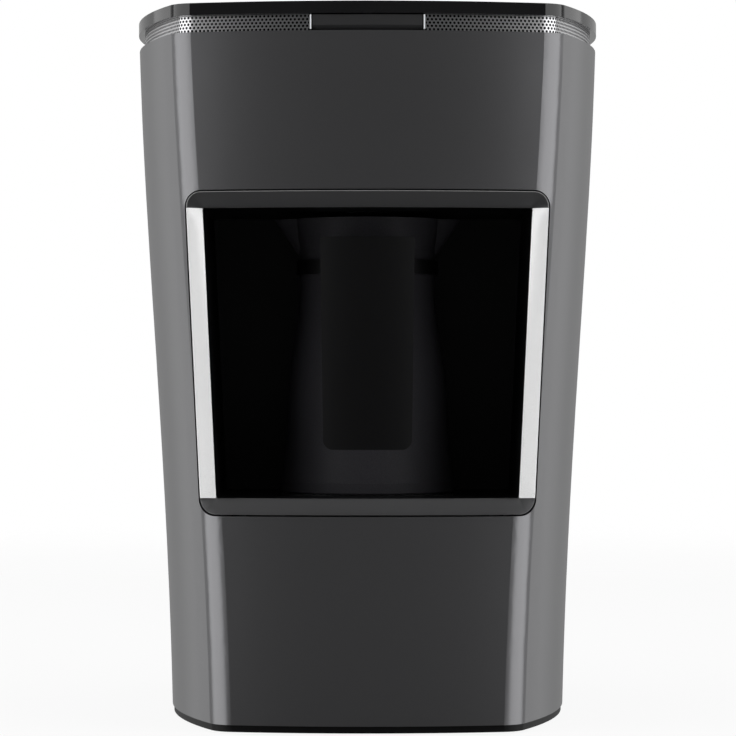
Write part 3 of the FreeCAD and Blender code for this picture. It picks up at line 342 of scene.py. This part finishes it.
def finishes(colors):
    """One material for every slot of the record, and the copies with painted reflection, highlight and
    shade that single faces of the trim and single pieces take.
    """
    return {
        "painted_shell": metallic_paint("painted_shell", tuple(colors.casing), 0.08, 0.30),
        # The trim's one polished metal is split into painted light: a near-white painted reflection on its
        # upright faces, a painted highlight on its top edge, painted shade on its top and bottom faces.
        "polished_trim": brushed_metal("polished_trim", tuple(colors.trim_painted_reflection_color), 0.28, 0.12),
        "trim_painted_edge_highlight": brushed_metal("trim_painted_edge_highlight", scaled(tuple(colors.trim_painted_reflection_color), 0.5), 0.30, 0.5),
        "trim_painted_shade": brushed_metal("trim_painted_shade", tuple(colors.trim_painted_shade_color), 0.42, 0.6),
        "gloss_black": moulded_gloss("gloss_black", tuple(colors.lid), 0.06, 0.45),
        "matte_black": moulded_satin("matte_black", (0.0035, 0.0035, 0.0038), 0.45, 0.12),
        "band_steel": brushed_metal("band_steel", (0.56, 0.56, 0.57), 0.30),
        "button_grey": moulded_satin("button_grey", tuple(colors.button), 0.35, 0.5, 2200.0, 0.10),
        "pot_coating": baked_coating("pot_coating", (0.030, 0.029, 0.033), 0.55),
        "steel": brushed_metal("steel", (0.58, 0.58, 0.59), 0.30),
        "bright_steel": brushed_metal("bright_steel", (0.74, 0.74, 0.75), 0.16),
        "rubber": soft_rubber("rubber", (0.018, 0.018, 0.018)),
        "silicone": soft_rubber("silicone", (0.02, 0.02, 0.021)),
        "aluminium": cast_metal("aluminium", (0.60, 0.60, 0.62), 0.38),
        "circuit_board": laminate_board("circuit_board", (0.02, 0.15, 0.06)),
        "component_black": moulded_satin("component_black", (0.02, 0.02, 0.021), 0.45, 0.4),
        "component_white": moulded_satin("component_white", (0.70, 0.70, 0.67), 0.42, 0.45),
        "clear_lens": tinted_window("clear_lens", (0.35, 0.38, 0.42)),
        "lead_sheath": soft_rubber("lead_sheath", (0.42, 0.42, 0.40)),
        "brass": cast_metal("brass", (0.70, 0.50, 0.20), 0.28),
        "light_guide": lit_plastic("light_guide", (0.88, 0.90, 0.92)),
        # Black satin lightened as painted fill light for the chamber liner, which sits in deep shade.
        "liner_black_painted_fill": moulded_satin("liner_black_painted_fill", (0.022, 0.022, 0.023), 0.5, 0.2),
        # Steel darkened as painted shade for the handle's bracket inside the chamber.
        "steel_painted_shade": brushed_metal("steel_painted_shade", (0.11, 0.11, 0.112), 0.38),
    }


SLOT_OF = {part["node"]: part["material_slot"] for part in frame["record"]["subparts"]}
# The chamber liner takes black lightened as painted fill light, the handle's bracket steel darkened as
# painted shade.
PAINTED_LIGHT_OF = {"chamber_liner": "liner_black_painted_fill", "handle_bracket": "steel_painted_shade"}
MADE = {}


def finish(slot, colors):
    """The material of a slot, made once."""
    if not MADE:
        MADE.update(finishes(colors))
    if slot not in MADE:
        raise RuntimeError("no finish is written for the slot " + slot)
    return MADE[slot]


def dress(nodes, colors):
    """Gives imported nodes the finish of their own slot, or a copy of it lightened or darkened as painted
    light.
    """
    for name in nodes:
        if name not in NODES:
            raise RuntimeError("the packed model has no node " + name)
        obj = NODES[name]
        obj.data.materials.clear()
        obj.data.materials.append(finish(PAINTED_LIGHT_OF.get(name, SLOT_OF[name]), colors))


def everything(shape):
    """All the geometry of a bmesh, in a list."""
    return shape.verts[:] + shape.edges[:] + shape.faces[:]


def verts_of(geometry):
    """The vertices among what a bmesh operator returns."""
    return [item for item in geometry if isinstance(item, bmesh.types.BMVert)]


def add_piece(name, shape, body, materials, smooth):
    """Turns a finished bmesh into a piece that rides on a body, smooth up to an angle in degrees."""
    bmesh.ops.remove_doubles(shape, verts=shape.verts, dist=WELD)
    mesh = bpy.data.meshes.new(name)
    shape.to_mesh(mesh)
    shape.free()
    for material in materials:
        mesh.materials.append(material)
    mesh.shade_smooth()
    mesh.set_sharp_from_angle(angle=math.radians(smooth))
    piece = bpy.data.objects.new(name, mesh)
    bpy.context.scene.collection.objects.link(piece)
    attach(piece, body)
    return piece


class PlanCurve:
    """The rounded plan outline of the body, drawn inwards by an inset, walked by arc length."""

    def __init__(self, width, inset, form):
        self.half_depth = form.depth / 2 - inset
        half_width = width / 2 - inset
        front = form.front_radius - inset
        side = form.side_radius - inset
        corner = form.corner_radius - inset
        front_centre = Vector((0, front - self.half_depth))
        side_centre = Vector((half_width - side, 0))
        between = side_centre - front_centre
        gap = between.length
        along = ((front - corner) ** 2 - (side - corner) ** 2 + gap ** 2) / (2 * gap)
        across = math.sqrt((front - corner) ** 2 - along ** 2)
        unit = between / gap
        normal = Vector((-unit.y, unit.x))
        foot = front_centre + unit * along
        centre = max((foot + normal * across, foot - normal * across), key=lambda p: p.x - p.y)
        to_front = (centre - front_centre).normalized()
        to_side = (centre - side_centre).normalized()
        front_turn = math.atan2(to_front.x, -to_front.y)
        side_turn = math.atan2(to_side.x, -to_side.y)
        self.runs = [
            (front_centre, front, 0.0, front_turn),
            (centre, corner, front_turn, side_turn),
            (side_centre, side, side_turn, math.pi / 2),
        ]
        self.quarter = sum(radius * (end - start) for _, radius, start, end in self.runs)

    def at(self, distance):
        """The point and outward normal at a distance to the right of the middle of the front."""
        sign = 1 if distance >= 0 else -1
        left = abs(distance)
        back = left > self.quarter
        if back:
            left = max(0.0, 2 * self.quarter - left)
        for centre, radius, start, end in self.runs:
            length = radius * (end - start)
            if left <= length:
                break
            left -= length
        turn = start + min(left, length) / radius
        normal = Vector((math.sin(turn), -math.cos(turn)))
        point = centre + normal * radius
        flip = -1 if back else 1
        return (
            Vector((point.x * sign, point.y * flip, 0)),
            Vector((normal.x * sign, normal.y * flip, 0)),
        )


BODY_LOW = 0.003
BODY_HIGH = 0.240
BODY_WIDTHS = (0.1430, 0.1473, 0.1541, 0.1616, 0.1670)
HALVINGS = 30


def body_width(level):
    """The tapering body's width at one height, smooth through its five measured widths."""
    place = (level - BODY_LOW) / (BODY_HIGH - BODY_LOW) * (len(BODY_WIDTHS) - 1)
    step = min(max(int(place), 0), len(BODY_WIDTHS) - 2)
    part = place - step
    before = BODY_WIDTHS[max(step - 1, 0)]
    start = BODY_WIDTHS[step]
    end = BODY_WIDTHS[step + 1]
    after = BODY_WIDTHS[min(step + 2, len(BODY_WIDTHS) - 1)]
    pull_start = (end - before) / (2 if step > 0 else 1)
    pull_end = (after - start) / (2 if step < len(BODY_WIDTHS) - 2 else 1)
    square = part * part
    cube = square * part
    return (
        start * (2 * cube - 3 * square + 1)
        + pull_start * (cube - 2 * square + part)
        + end * (3 * square - 2 * cube)
        + pull_end * (cube - square)
    )


def skin_y(x, level, form):
    """Where the body's front surface lies, at one place across it and one height."""
    curve = PlanCurve(body_width(level), 0.0, form)
    near, far = 0.0, curve.quarter
    for _ in range(HALVINGS):
        middle = (near + far) / 2
        if curve.at(middle)[0].x < abs(x):
            near = middle
        else:
            far = middle
    return curve.at(near)[0].y


def length(name, description, default):
    """A property that holds a length in metres."""
    return FloatProperty(
        name=name, description=description, default=default, subtype="DISTANCE", unit="LENGTH"
    )


class FormSizes(PropertyGroup):
    """Sizes of the body's plan, shared by the skins that follow it."""

    depth: length("Depth", "Body depth", 0.170)
    width_top: length("Top width", "Body width at its top", 0.167)
    front_radius: length("Front radius", "Plan radius of the front", 0.250)
    side_radius: length("Side radius", "Plan radius of the sides", 0.170)
    corner_radius: length("Corner radius", "Plan radius of the corners", 0.0105)


class BandSizes(PropertyGroup):
    """Sizes of the punched metal band under the lid."""

    inset: length("Inset", "How far the band stands back from the body", 0.002)
    sheet: length("Sheet", "Thickness of the metal", 0.00045)
    hole_pitch: length("Hole pitch", "Distance between holes in a row", 0.00141)
    hole_width: length("Hole width", "Diameter of a hole", 0.00096)
    rows: IntProperty(name="Rows", description="Rows of holes", default=5, min=1, max=9)


class TrimSizes(PropertyGroup):
    """Sizes of the bevelled frame around the window."""

    opening_low: length("Opening bottom", "Height of the opening's lower edge", 0.0803)
    opening_high: length("Opening top", "Height of the opening's upper edge", 0.1800)
    half_low: length("Half width, bottom", "Half of the opening's width at its bottom", 0.0521)
    half_high: length("Half width, top", "Half of the opening's width at its top", 0.0568)
    lip: length("Lip", "Width of the sloping lip", 0.0055)
    corner: length("Corner", "Radius of the lip's outer corners", 0.0053)
    inner_corner: length("Inner corner", "Radius of the opening's corners", 0.001)
    edge: length("Edge", "Width of the polished edge break", 0.00035)


class FinishColors(PropertyGroup):
    """The colours that a user would change."""

    casing: FloatVectorProperty(
        name="Casing", description="Metallic paint of the body", default=(0.155, 0.155, 0.160),
        subtype="COLOR", min=0.0, max=1.0,
    )
    # Near-white colour painted as the reflection on the upright faces of the polished trim; half of it is
    # the painted highlight of the top edge.
    trim_painted_reflection_color: FloatVectorProperty(
        name="Trim, sides", description="Polished upright faces of the window trim",
        default=(0.97, 0.97, 0.97), subtype="COLOR", min=0.0, max=1.0,
    )
    # Dark colour painted as shade on the top and bottom faces of the same polished trim.
    trim_painted_shade_color: FloatVectorProperty(
        name="Trim, top and bottom", description="Shaded faces of the window trim",
        default=(0.07, 0.07, 0.072), subtype="COLOR", min=0.0, max=1.0,
    )
    lid: FloatVectorProperty(
        name="Lid", description="Gloss black of the lid", default=(0.006, 0.006, 0.0065),
        subtype="COLOR", min=0.0, max=1.0,
    )
    button: FloatVectorProperty(
        name="Button", description="Satin grey of the start button", default=(0.025, 0.025, 0.026),
        subtype="COLOR", min=0.0, max=1.0,
    )


class StudioSettings(PropertyGroup):
    """Camera and lamps."""

    distance: FloatProperty(
        name="Camera distance", description="From the camera to the middle of the footprint",
        default=1.085, subtype="DISTANCE", unit="LENGTH",
    )
    eye_height: FloatProperty(
        name="Camera height", description="Height of the camera", default=0.125,
        subtype="DISTANCE", unit="LENGTH",
    )
    lens: FloatProperty(
        name="Lens", description="Focal length for a 36 mm sensor", default=143.85,
        subtype="DISTANCE_CAMERA", unit="CAMERA",
    )
    key_power: FloatProperty(
        name="Key lamps", description="Power of each softbox at the front corners", default=11.5,
        subtype="POWER", unit="POWER",
    )
    side_power: FloatProperty(
        name="Rear lamps", description="Power of each softbox at the rear corners", default=1.0,
        subtype="POWER", unit="POWER",
    )
    top_power: FloatProperty(
        name="Top lamp", description="Power of the softbox overhead", default=3.0,
        subtype="POWER", unit="POWER",
    )
    ambient: FloatProperty(
        name="Room light", description="Level of the light that comes from everywhere",
        default=0.30, min=0.0, max=2.0,
    )


class COFFEE_OT_casing(Operator):
    """Finish the painted casing, the base plate and the feet"""

    bl_idname = "coffee.casing"
    bl_label = "Casing and Base"

    def execute(self, context):
        dress(
            (
                "outer_casing", "inlet_insert", "base_plate", "rubber_feet", "base_screws",
                "cable_gland",
            ),
            context.scene.coffee_colors,
        )
        return {"FINISHED"}


class COFFEE_OT_lid(Operator):
    """Finish the lid, the top deck and the hinge"""

    bl_idname = "coffee.lid"
    bl_label = "Lid and Deck"

    def execute(self, context):
        dress(
            ("lid", "top_deck", "deck_screws", "lid_hinge_pins", "lid_pads", "measuring_spoon"),
            context.scene.coffee_colors,
        )
        return {"FINISHED"}


class COFFEE_OT_button(Operator):
    """Finish the start button, its lights, board and switch"""

    bl_idname = "coffee.button"
    bl_label = "Start Button"

    def execute(self, context):
        dress(
            ("start_button", "button_light_guides", "button_board", "tact_switch", "status_leds"),
            context.scene.coffee_colors,
        )
        return {"FINISHED"}


class COFFEE_OT_band(Operator):
    """Punch and bend the perforated band under the lid"""

    bl_idname = "coffee.band"
    bl_label = "Perforated Band"

    HOLE_SIDES = 8
    REAR_GAP = 0.040
    HOLE_WELD = 0.00002

    def hole_cell(self, shape, pitch, row_height, hole_width):
        """One hole and the sheet around it, flat in X and Z."""
        bmesh.ops.create_circle(
            shape, cap_ends=False, segments=self.HOLE_SIDES, radius=hole_width / 2
        )
        grown = bmesh.ops.extrude_edge_only(shape, edges=shape.edges[:])["geom"]
        for vert in verts_of(grown):
            turn = vert.co.xy.normalized()
            vert.co.x = round(turn.x) * pitch / 2
            vert.co.y = round(turn.y) * row_height / 2
        upright = Matrix.Rotation(math.pi / 2, 4, "X")
        bmesh.ops.transform(shape, matrix=upright, verts=shape.verts)

    def repeat(self, shape, geometry, count, step):
        """Copies some geometry again and again along one step."""
        for number in range(1, count):
            copy = bmesh.ops.duplicate(shape, geom=geometry)["geom"]
            bmesh.ops.translate(shape, verts=verts_of(copy), vec=step * number)

    def flat_sheet(self, start, end, low, high, band):
        """The punched sheet before it is bent, X along the band and Z up."""
        shape = bmesh.new()
        pitch = band.hole_pitch
        row_height = (high - low) / band.rows
        columns = math.ceil((end - start) / pitch) + 3
        self.hole_cell(shape, pitch, row_height, band.hole_width)
        self.repeat(shape, everything(shape), columns, Vector((pitch, 0, 0)))
        row = everything(shape)
        for number in range(1, band.rows):
            copy = bmesh.ops.duplicate(shape, geom=row)["geom"]
            shift = Vector((pitch / 2 * (number % 2), 0, row_height * number))
            bmesh.ops.translate(shape, verts=verts_of(copy), vec=shift)
        bmesh.ops.translate(
            shape, verts=shape.verts, vec=Vector((start - pitch, 0, low + row_height / 2))
        )
        bmesh.ops.remove_doubles(shape, verts=shape.verts, dist=self.HOLE_WELD)
        for place, side in ((start, -1), (end, 1)):
            bmesh.ops.bisect_plane(
                shape,
                geom=everything(shape),
                plane_co=(place, 0, 0),
                plane_no=(side, 0, 0),
                clear_outer=True,
            )
        return shape

    def execute(self, context):
        form = context.scene.coffee_form
        band = context.scene.coffee_band
        colors = context.scene.coffee_colors
        curve = PlanCurve(form.width_top, band.inset, form)
        low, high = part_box("perforated_band_right")
        radius = form.front_radius - band.inset
        start = radius * math.asin(low.x / radius)
        end = 2 * curve.quarter - radius * math.asin(self.REAR_GAP / radius)
        for name, sign in (("perforated_band_right", 1), ("perforated_band_left", -1)):
            shape = self.flat_sheet(start, end, low.z, high.z, band)
            for vert in shape.verts:
                point, _ = curve.at(vert.co.x * sign)
                vert.co.x = point.x
                vert.co.y = point.y
            first = shape.faces[:][0]
            middle = first.calc_center_median()
            first.normal_update()
            if first.normal.x * middle.x + first.normal.y * middle.y < 0:
                bmesh.ops.reverse_faces(shape, faces=shape.faces)
            shape.normal_update()
            bmesh.ops.solidify(shape, geom=shape.faces[:], thickness=band.sheet)
            sheet = add_piece(
                name + "_sheet", shape, "housing", [finish("band_steel", colors)], 40.0
            )
            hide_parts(name)
        return {"FINISHED"}


class COFFEE_OT_trim(Operator):
    """Build the bevelled trim around the window, with its sleeve"""

    bl_idname = "coffee.trim"
    bl_label = "Window Trim"

    CORNER_STEPS = 8
    ACROSS_STEPS = 24
    SHORTEST_SIDE = 0.06
    RIM_BACK = -0.0705
    SLEEVE_BACK = -0.0553
    FACES_FRONT = -0.3
    # Shares of the lip's width and of the corner's radius past which faces take the painted edge
    # highlight.
    UPPER_EDGE = 0.93
    CORNER_EDGE = 0.92

    def half_width(self, trim, level):
        """Half of the opening's width at one height."""
        slope = (trim.half_high - trim.half_low) / (trim.opening_high - trim.opening_low)
        return trim.half_low + (level - trim.opening_low) * slope

    def frame_loop(self, shape, trim, grow, corner):
        """Adds the window's outline, grown by a margin, as a closed row of edges in X and Z."""
        loop = bmesh.new()
        quad = bmesh.ops.create_grid(loop, x_segments=1, y_segments=1, size=1.0)["verts"]
        for vert in quad:
            level = trim.opening_high + grow if vert.co.y > 0 else trim.opening_low - grow
            half = self.half_width(trim, level) + grow
            vert.co = Vector((half if vert.co.x > 0 else -half, 0, level))
        bmesh.ops.bevel(
            loop, geom=quad, offset=corner, offset_type="OFFSET", affect="VERTICES",
            segments=self.CORNER_STEPS, profile=0.5, material=-1,
        )
        bmesh.ops.delete(loop, geom=loop.faces[:], context="FACES_ONLY")
        long_edges = [edge for edge in loop.edges if edge.calc_length() > self.SHORTEST_SIDE]
        bmesh.ops.subdivide_edges(loop, edges=long_edges, cuts=self.ACROSS_STEPS - 1)
        mesh = bpy.data.meshes.new("window_outline")
        loop.to_mesh(mesh)
        loop.free()
        shape.from_mesh(mesh)
        bpy.data.meshes.remove(mesh)
        shape.verts.ensure_lookup_table()
        shape.edges.ensure_lookup_table()

    def lay_on_skin(self, verts, form):
        """Puts a loop on the body's outer surface."""
        for vert in verts:
            vert.co.y = skin_y(vert.co.x, vert.co.z, form)

    def lay_inside(self, verts, trim, form):
        """Puts a loop at the foot of the lip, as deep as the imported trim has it."""
        radius = form.front_radius - trim.lip
        centre = form.front_radius - form.depth / 2
        for vert in verts:
            along_front = centre - math.sqrt(radius ** 2 - vert.co.x ** 2)
            reach = math.copysign(abs(vert.co.x) + trim.lip, vert.co.x)
            along_side = skin_y(reach, vert.co.z, form) + trim.lip
            vert.co.y = min(along_front, along_side)

    def execute(self, context):
        form = context.scene.coffee_form
        trim = context.scene.coffee_trim
        colors = context.scene.coffee_colors
        shape = bmesh.new()
        self.frame_loop(shape, trim, trim.lip, trim.corner)
        outer_count = len(shape.verts)
        self.frame_loop(shape, trim, 0.0, trim.inner_corner)
        outer_edges = shape.edges[:outer_count]
        inner_edges = shape.edges[outer_count:]
        self.lay_on_skin(shape.verts[:outer_count], form)
        self.lay_inside(shape.verts[outer_count:], trim, form)
        lip = bmesh.ops.bridge_loops(shape, edges=outer_edges + inner_edges)["faces"]
        bmesh.ops.recalc_face_normals(shape, faces=lip)
        if sum(face.normal.y for face in lip) > 0:
            bmesh.ops.reverse_faces(shape, faces=lip)
        for edges, back in ((outer_edges, self.RIM_BACK), (inner_edges, self.SLEEVE_BACK)):
            walls = bmesh.ops.extrude_edge_only(shape, edges=edges)["geom"]
            for vert in verts_of(walls):
                vert.co.y = back
        bmesh.ops.bevel(
            shape, geom=outer_edges + inner_edges, offset=trim.edge, offset_type="OFFSET",
            affect="EDGES", segments=2, profile=0.5, material=-1,
        )
        shape.normal_update()
        self.share_out(shape, trim)
        # Slots of the trim: painted reflection, painted shade, matte black, painted edge highlight.
        window_trim = add_piece(
            "window_trim", shape, "housing",
            [
                finish("polished_trim", colors), finish("trim_painted_shade", colors),
                finish("matte_black", colors), finish("trim_painted_edge_highlight", colors),
            ],
            30.0,
        )
        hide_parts("bezel_trim")
        dress(("trim_screws",), colors)
        return {"FINISHED"}

    def share_out(self, shape, trim):
        """Upright lip faces take a near-white painted reflection, the top edge a painted highlight, the
        other lip faces painted shade.
        """
        for level in (trim.opening_low, trim.opening_high):
            bmesh.ops.bisect_plane(
                shape, geom=everything(shape), plane_co=(0, 0, level), plane_no=(0, 0, 1),
            )
        shape.normal_update()
        for face in shape.faces:
            middle = face.calc_center_median()
            between = trim.opening_low < middle.z < trim.opening_high
            on_upper_edge = middle.z > trim.opening_high + trim.lip * self.UPPER_EDGE
            # Faces turned from the front go matte black; each lip face takes one of painted reflection,
            # painted highlight and painted shade, by where it lies.
            if face.normal.y > self.FACES_FRONT:
                face.material_index = 2
            elif between and abs(middle.x) > self.half_width(trim, middle.z):
                face.material_index = 0
            elif on_upper_edge or self.on_round_corner(middle, trim):
                face.material_index = 3
            else:
                face.material_index = 1

    def on_round_corner(self, middle, trim):
        """Whether a face is the polished edge break of a round upper corner, which takes the painted
        highlight.
        """
        across = abs(middle.x) - (self.half_width(trim, middle.z) + trim.lip - trim.corner)
        above = middle.z - (trim.opening_high + trim.lip - trim.corner)
        far = math.hypot(across, above) > trim.corner * self.CORNER_EDGE
        return across > 0 and above > 0 and far


class COFFEE_OT_chamber(Operator):
    """Finish the heating chamber, its sensor and the hotplate"""

    bl_idname = "coffee.chamber"
    bl_label = "Chamber and Hotplate"

    def execute(self, context):
        dress(
            (
                "chamber_liner", "sensor_window", "sensor_board", "foam_sensors", "sensor_screws",
                "hotplate", "hotplate_seal", "heating_element", "hotplate_studs", "stud_nuts",
                "heat_shield", "shield_screws", "temperature_sensor", "thermal_fuse",
                "support_bracket", "bracket_screws",
            ),
            context.scene.coffee_colors,
        )
        return {"FINISHED"}


class COFFEE_OT_electrics(Operator):
    """Finish the control board, its parts and the leads"""

    bl_idname = "coffee.electrics"
    bl_label = "Electrics"

    def execute(self, context):
        dress(
            (
                "control_board", "board_screws", "transformer", "relay", "capacitor", "buzzer",
                "board_connectors", "terminal_block", "terminal_screws", "mains_leads",
                "heater_leads", "temperature_lead", "button_lead", "foam_sensor_lead",
            ),
            context.scene.coffee_colors,
        )
        return {"FINISHED"}


class COFFEE_OT_pot(Operator):
    """Finish the coffee pot, its base and its handle"""

    bl_idname = "coffee.pot"
    bl_label = "Coffee Pot"

    def execute(self, context):
        dress(
            ("pot_body", "pot_base", "pot_handle", "handle_inlay", "handle_bracket", "handle_screw"),
            context.scene.coffee_colors,
        )
        return {"FINISHED"}


class COFFEE_OT_studio(Operator):
    """Set up the pale floor, the background, the softboxes and the camera"""

    bl_idname = "coffee.studio"
    bl_label = "Studio"

    FLOOR_RADIUS = 2.6
    FLOOR_FADE = (0.5, 1.3)
    FLOOR_LIFT = 0.9
    MIRRORED_FROM = (-0.75, 0.9)
    MIRRORED_LEVEL = (0.075, 0.42)
    KEY_PLACE = (0.98, -0.37, 0.33)
    KEY_AIM = (0, -0.05, 0.13)
    KEY_SIZE = (1.36, 1.3)
    REAR_PLACE = (0.82, 0.68, 0.33)
    REAR_AIM = (0, 0.0, 0.13)
    REAR_SIZE = (0.45, 1.3)
    TOP_PLACE = (0, 0.1, 1.2)
    TOP_AIM = (0, 0, 0.1)
    TOP_SIZE = (0.9, 0.9)
    CAMERA_SIDE = 0.00017

    def seen_directly(self, mix):
        """One for rays that show the background: from the camera, mirrored or through glass."""
        camera = mix.node("ShaderNodeLightPath", output="Is Camera Ray")
        glossy = mix.node("ShaderNodeLightPath", output="Is Glossy Ray")
        through = mix.node("ShaderNodeLightPath", output="Is Transmission Ray")
        return camera, glossy, through

    def world(self, context, studio):
        """White behind the object, a dim room in front of it."""
        world = bpy.data.worlds.new("studio_world")
        context.scene.world = world
        world.use_nodes = True
        mix = Recipe(world.node_tree)
        camera, glossy, through = self.seen_directly(mix)
        direction = mix.node("ShaderNodeTexCoord", output="Generated")
        depth = mix.node("ShaderNodeSeparateXYZ", None, {"Vector": direction}, output="Y")
        behind = mix.node(
            "ShaderNodeMapRange",
            {"interpolation_type": "SMOOTHSTEP"},
            {
                "Value": depth,
                "From Min": self.MIRRORED_FROM[0], "From Max": self.MIRRORED_FROM[1],
                "To Min": self.MIRRORED_LEVEL[0], "To Max": self.MIRRORED_LEVEL[1],
            },
        )
        shown = camera.math("MAXIMUM", (glossy + through) * behind)
        room = 1 - camera - glossy - through
        level = shown + room.math("MAXIMUM", 0.0) * studio.ambient
        background = mix.node("ShaderNodeBackground", None, {"Color": (1, 1, 1, 1), "Strength": level})
        mix.node("ShaderNodeOutputWorld", None, {"Surface": background})

    def floor(self):
        """A wide pale floor that fades into the background and keeps the shadow."""
        shape = bmesh.new()
        bmesh.ops.create_circle(shape, cap_ends=True, segments=96, radius=self.FLOOR_RADIUS)
        mesh = bpy.data.meshes.new("studio_floor")
        shape.to_mesh(mesh)
        shape.free()
        floor = bpy.data.objects.new("studio_floor", mesh)
        bpy.context.scene.collection.objects.link(floor)
        material, mix = recipe("studio_floor")
        camera, glossy, through = self.seen_directly(mix)
        clouds = mix.noise(6.0, 2.0)
        pale = mix.shades((0.80, 0.80, 0.80), (0.83, 0.83, 0.83), clouds)
        matt = mix.node("ShaderNodeBsdfDiffuse", None, {"Color": pale})
        white = mix.node("ShaderNodeEmission", None, {"Color": (1, 1, 1, 1), "Strength": 1.0})
        seen = camera.math("MAXIMUM", through)
        lifted = mix.node("ShaderNodeMixShader", None, {0: seen * self.FLOOR_LIFT, 1: matt, 2: white})
        reach = mix.node("ShaderNodeVectorMath", {"operation": "LENGTH"}, {0: mix.place()}, output="Value")
        fade = mix.node(
            "ShaderNodeMapRange",
            {"interpolation_type": "SMOOTHSTEP"},
            {"Value": reach, "From Min": self.FLOOR_FADE[0], "From Max": self.FLOOR_FADE[1]},
        )
        clear = mix.node("ShaderNodeBsdfTransparent")
        hidden = fade.math("MAXIMUM", glossy)
        faded = mix.node("ShaderNodeMixShader", None, {0: hidden, 1: lifted, 2: clear})
        mix.node("ShaderNodeOutputMaterial", None, {"Surface": faded})
        mesh.materials.append(material)

    def lamp(self, name, place, aim, size, power, sign=1):
        """A softbox, on the right side or, with a sign of -1, on the left."""
        light = bpy.data.lights.new(name, "AREA")
        light.shape = "RECTANGLE"
        light.size, light.size_y = size
        light.energy = power
        obj = bpy.data.objects.new(name, light)
        bpy.context.scene.collection.objects.link(obj)
        obj.location = (place[0] * sign, place[1], place[2])
        obj.rotation_euler = (Vector(aim) - obj.location).to_track_quat("-Z", "Y").to_euler()

    def execute(self, context):
        studio = context.scene.coffee_studio
        context.scene.view_settings.view_transform = "Standard"
        self.world(context, studio)
        self.floor()
        key = (self.KEY_PLACE, self.KEY_AIM, self.KEY_SIZE, studio.key_power)
        rear = (self.REAR_PLACE, self.REAR_AIM, self.REAR_SIZE, studio.side_power)
        for side, sign in (("left", -1), ("right", 1)):
            self.lamp("key_" + side, *key, sign)
            self.lamp("rear_" + side, *rear, sign)
        self.lamp("softbox_top", self.TOP_PLACE, self.TOP_AIM, self.TOP_SIZE, studio.top_power)
        camera = bpy.data.cameras.new("front_camera")
        camera.lens = studio.lens
        camera.sensor_width = 36.0
        camera.clip_start = 0.01
        obj = bpy.data.objects.new("front_camera", camera)
        context.scene.collection.objects.link(obj)
        obj.location = (self.CAMERA_SIDE, -studio.distance, studio.eye_height)
        obj.rotation_euler = (math.pi / 2, 0, 0)
        context.scene.camera = obj
        return {"FINISHED"}


class COFFEE_PT_panel(Panel):
    """The coffee maker's sizes, colours and steps"""

    bl_idname = "COFFEE_PT_panel"
    bl_label = "Coffee Maker"
    bl_space_type = "VIEW_3D"
    bl_region_type = "UI"
    bl_category = "Coffee Maker"

    def draw(self, context):
        layout = self.layout
        scene = context.scene
        for group in GROUPS:
            settings = getattr(scene, group)
            box = layout.box()
            for key in settings.bl_rna.properties.keys():
                if key not in ("rna_type", "name"):
                    box.prop(settings, key)
        for step in STEPS:
            layout.operator(step.bl_idname)


STEPS = (
    COFFEE_OT_studio,
    COFFEE_OT_casing,
    COFFEE_OT_lid,
    COFFEE_OT_button,
    COFFEE_OT_band,
    COFFEE_OT_trim,
    COFFEE_OT_chamber,
    COFFEE_OT_electrics,
    COFFEE_OT_pot,
)
GROUPS = {
    "coffee_form": FormSizes,
    "coffee_band": BandSizes,
    "coffee_trim": TrimSizes,
    "coffee_colors": FinishColors,
    "coffee_studio": StudioSettings,
}


def register():
    for name, group in GROUPS.items():
        bpy.utils.register_class(group)
        setattr(bpy.types.Scene, name, PointerProperty(type=group))
    for step in STEPS:
        bpy.utils.register_class(step)
    bpy.utils.register_class(COFFEE_PT_panel)


def unregister():
    bpy.utils.unregister_class(COFFEE_PT_panel)
    for step in reversed(STEPS):
        bpy.utils.unregister_class(step)
    for name, group in reversed(GROUPS.items()):
        delattr(bpy.types.Scene, name)
        bpy.utils.unregister_class(group)


def main():
    register()
    for step in STEPS:
        category, name = step.bl_idname.split(".")
        getattr(getattr(bpy.ops, category), name)()


if __name__ == "__main__":
    main()
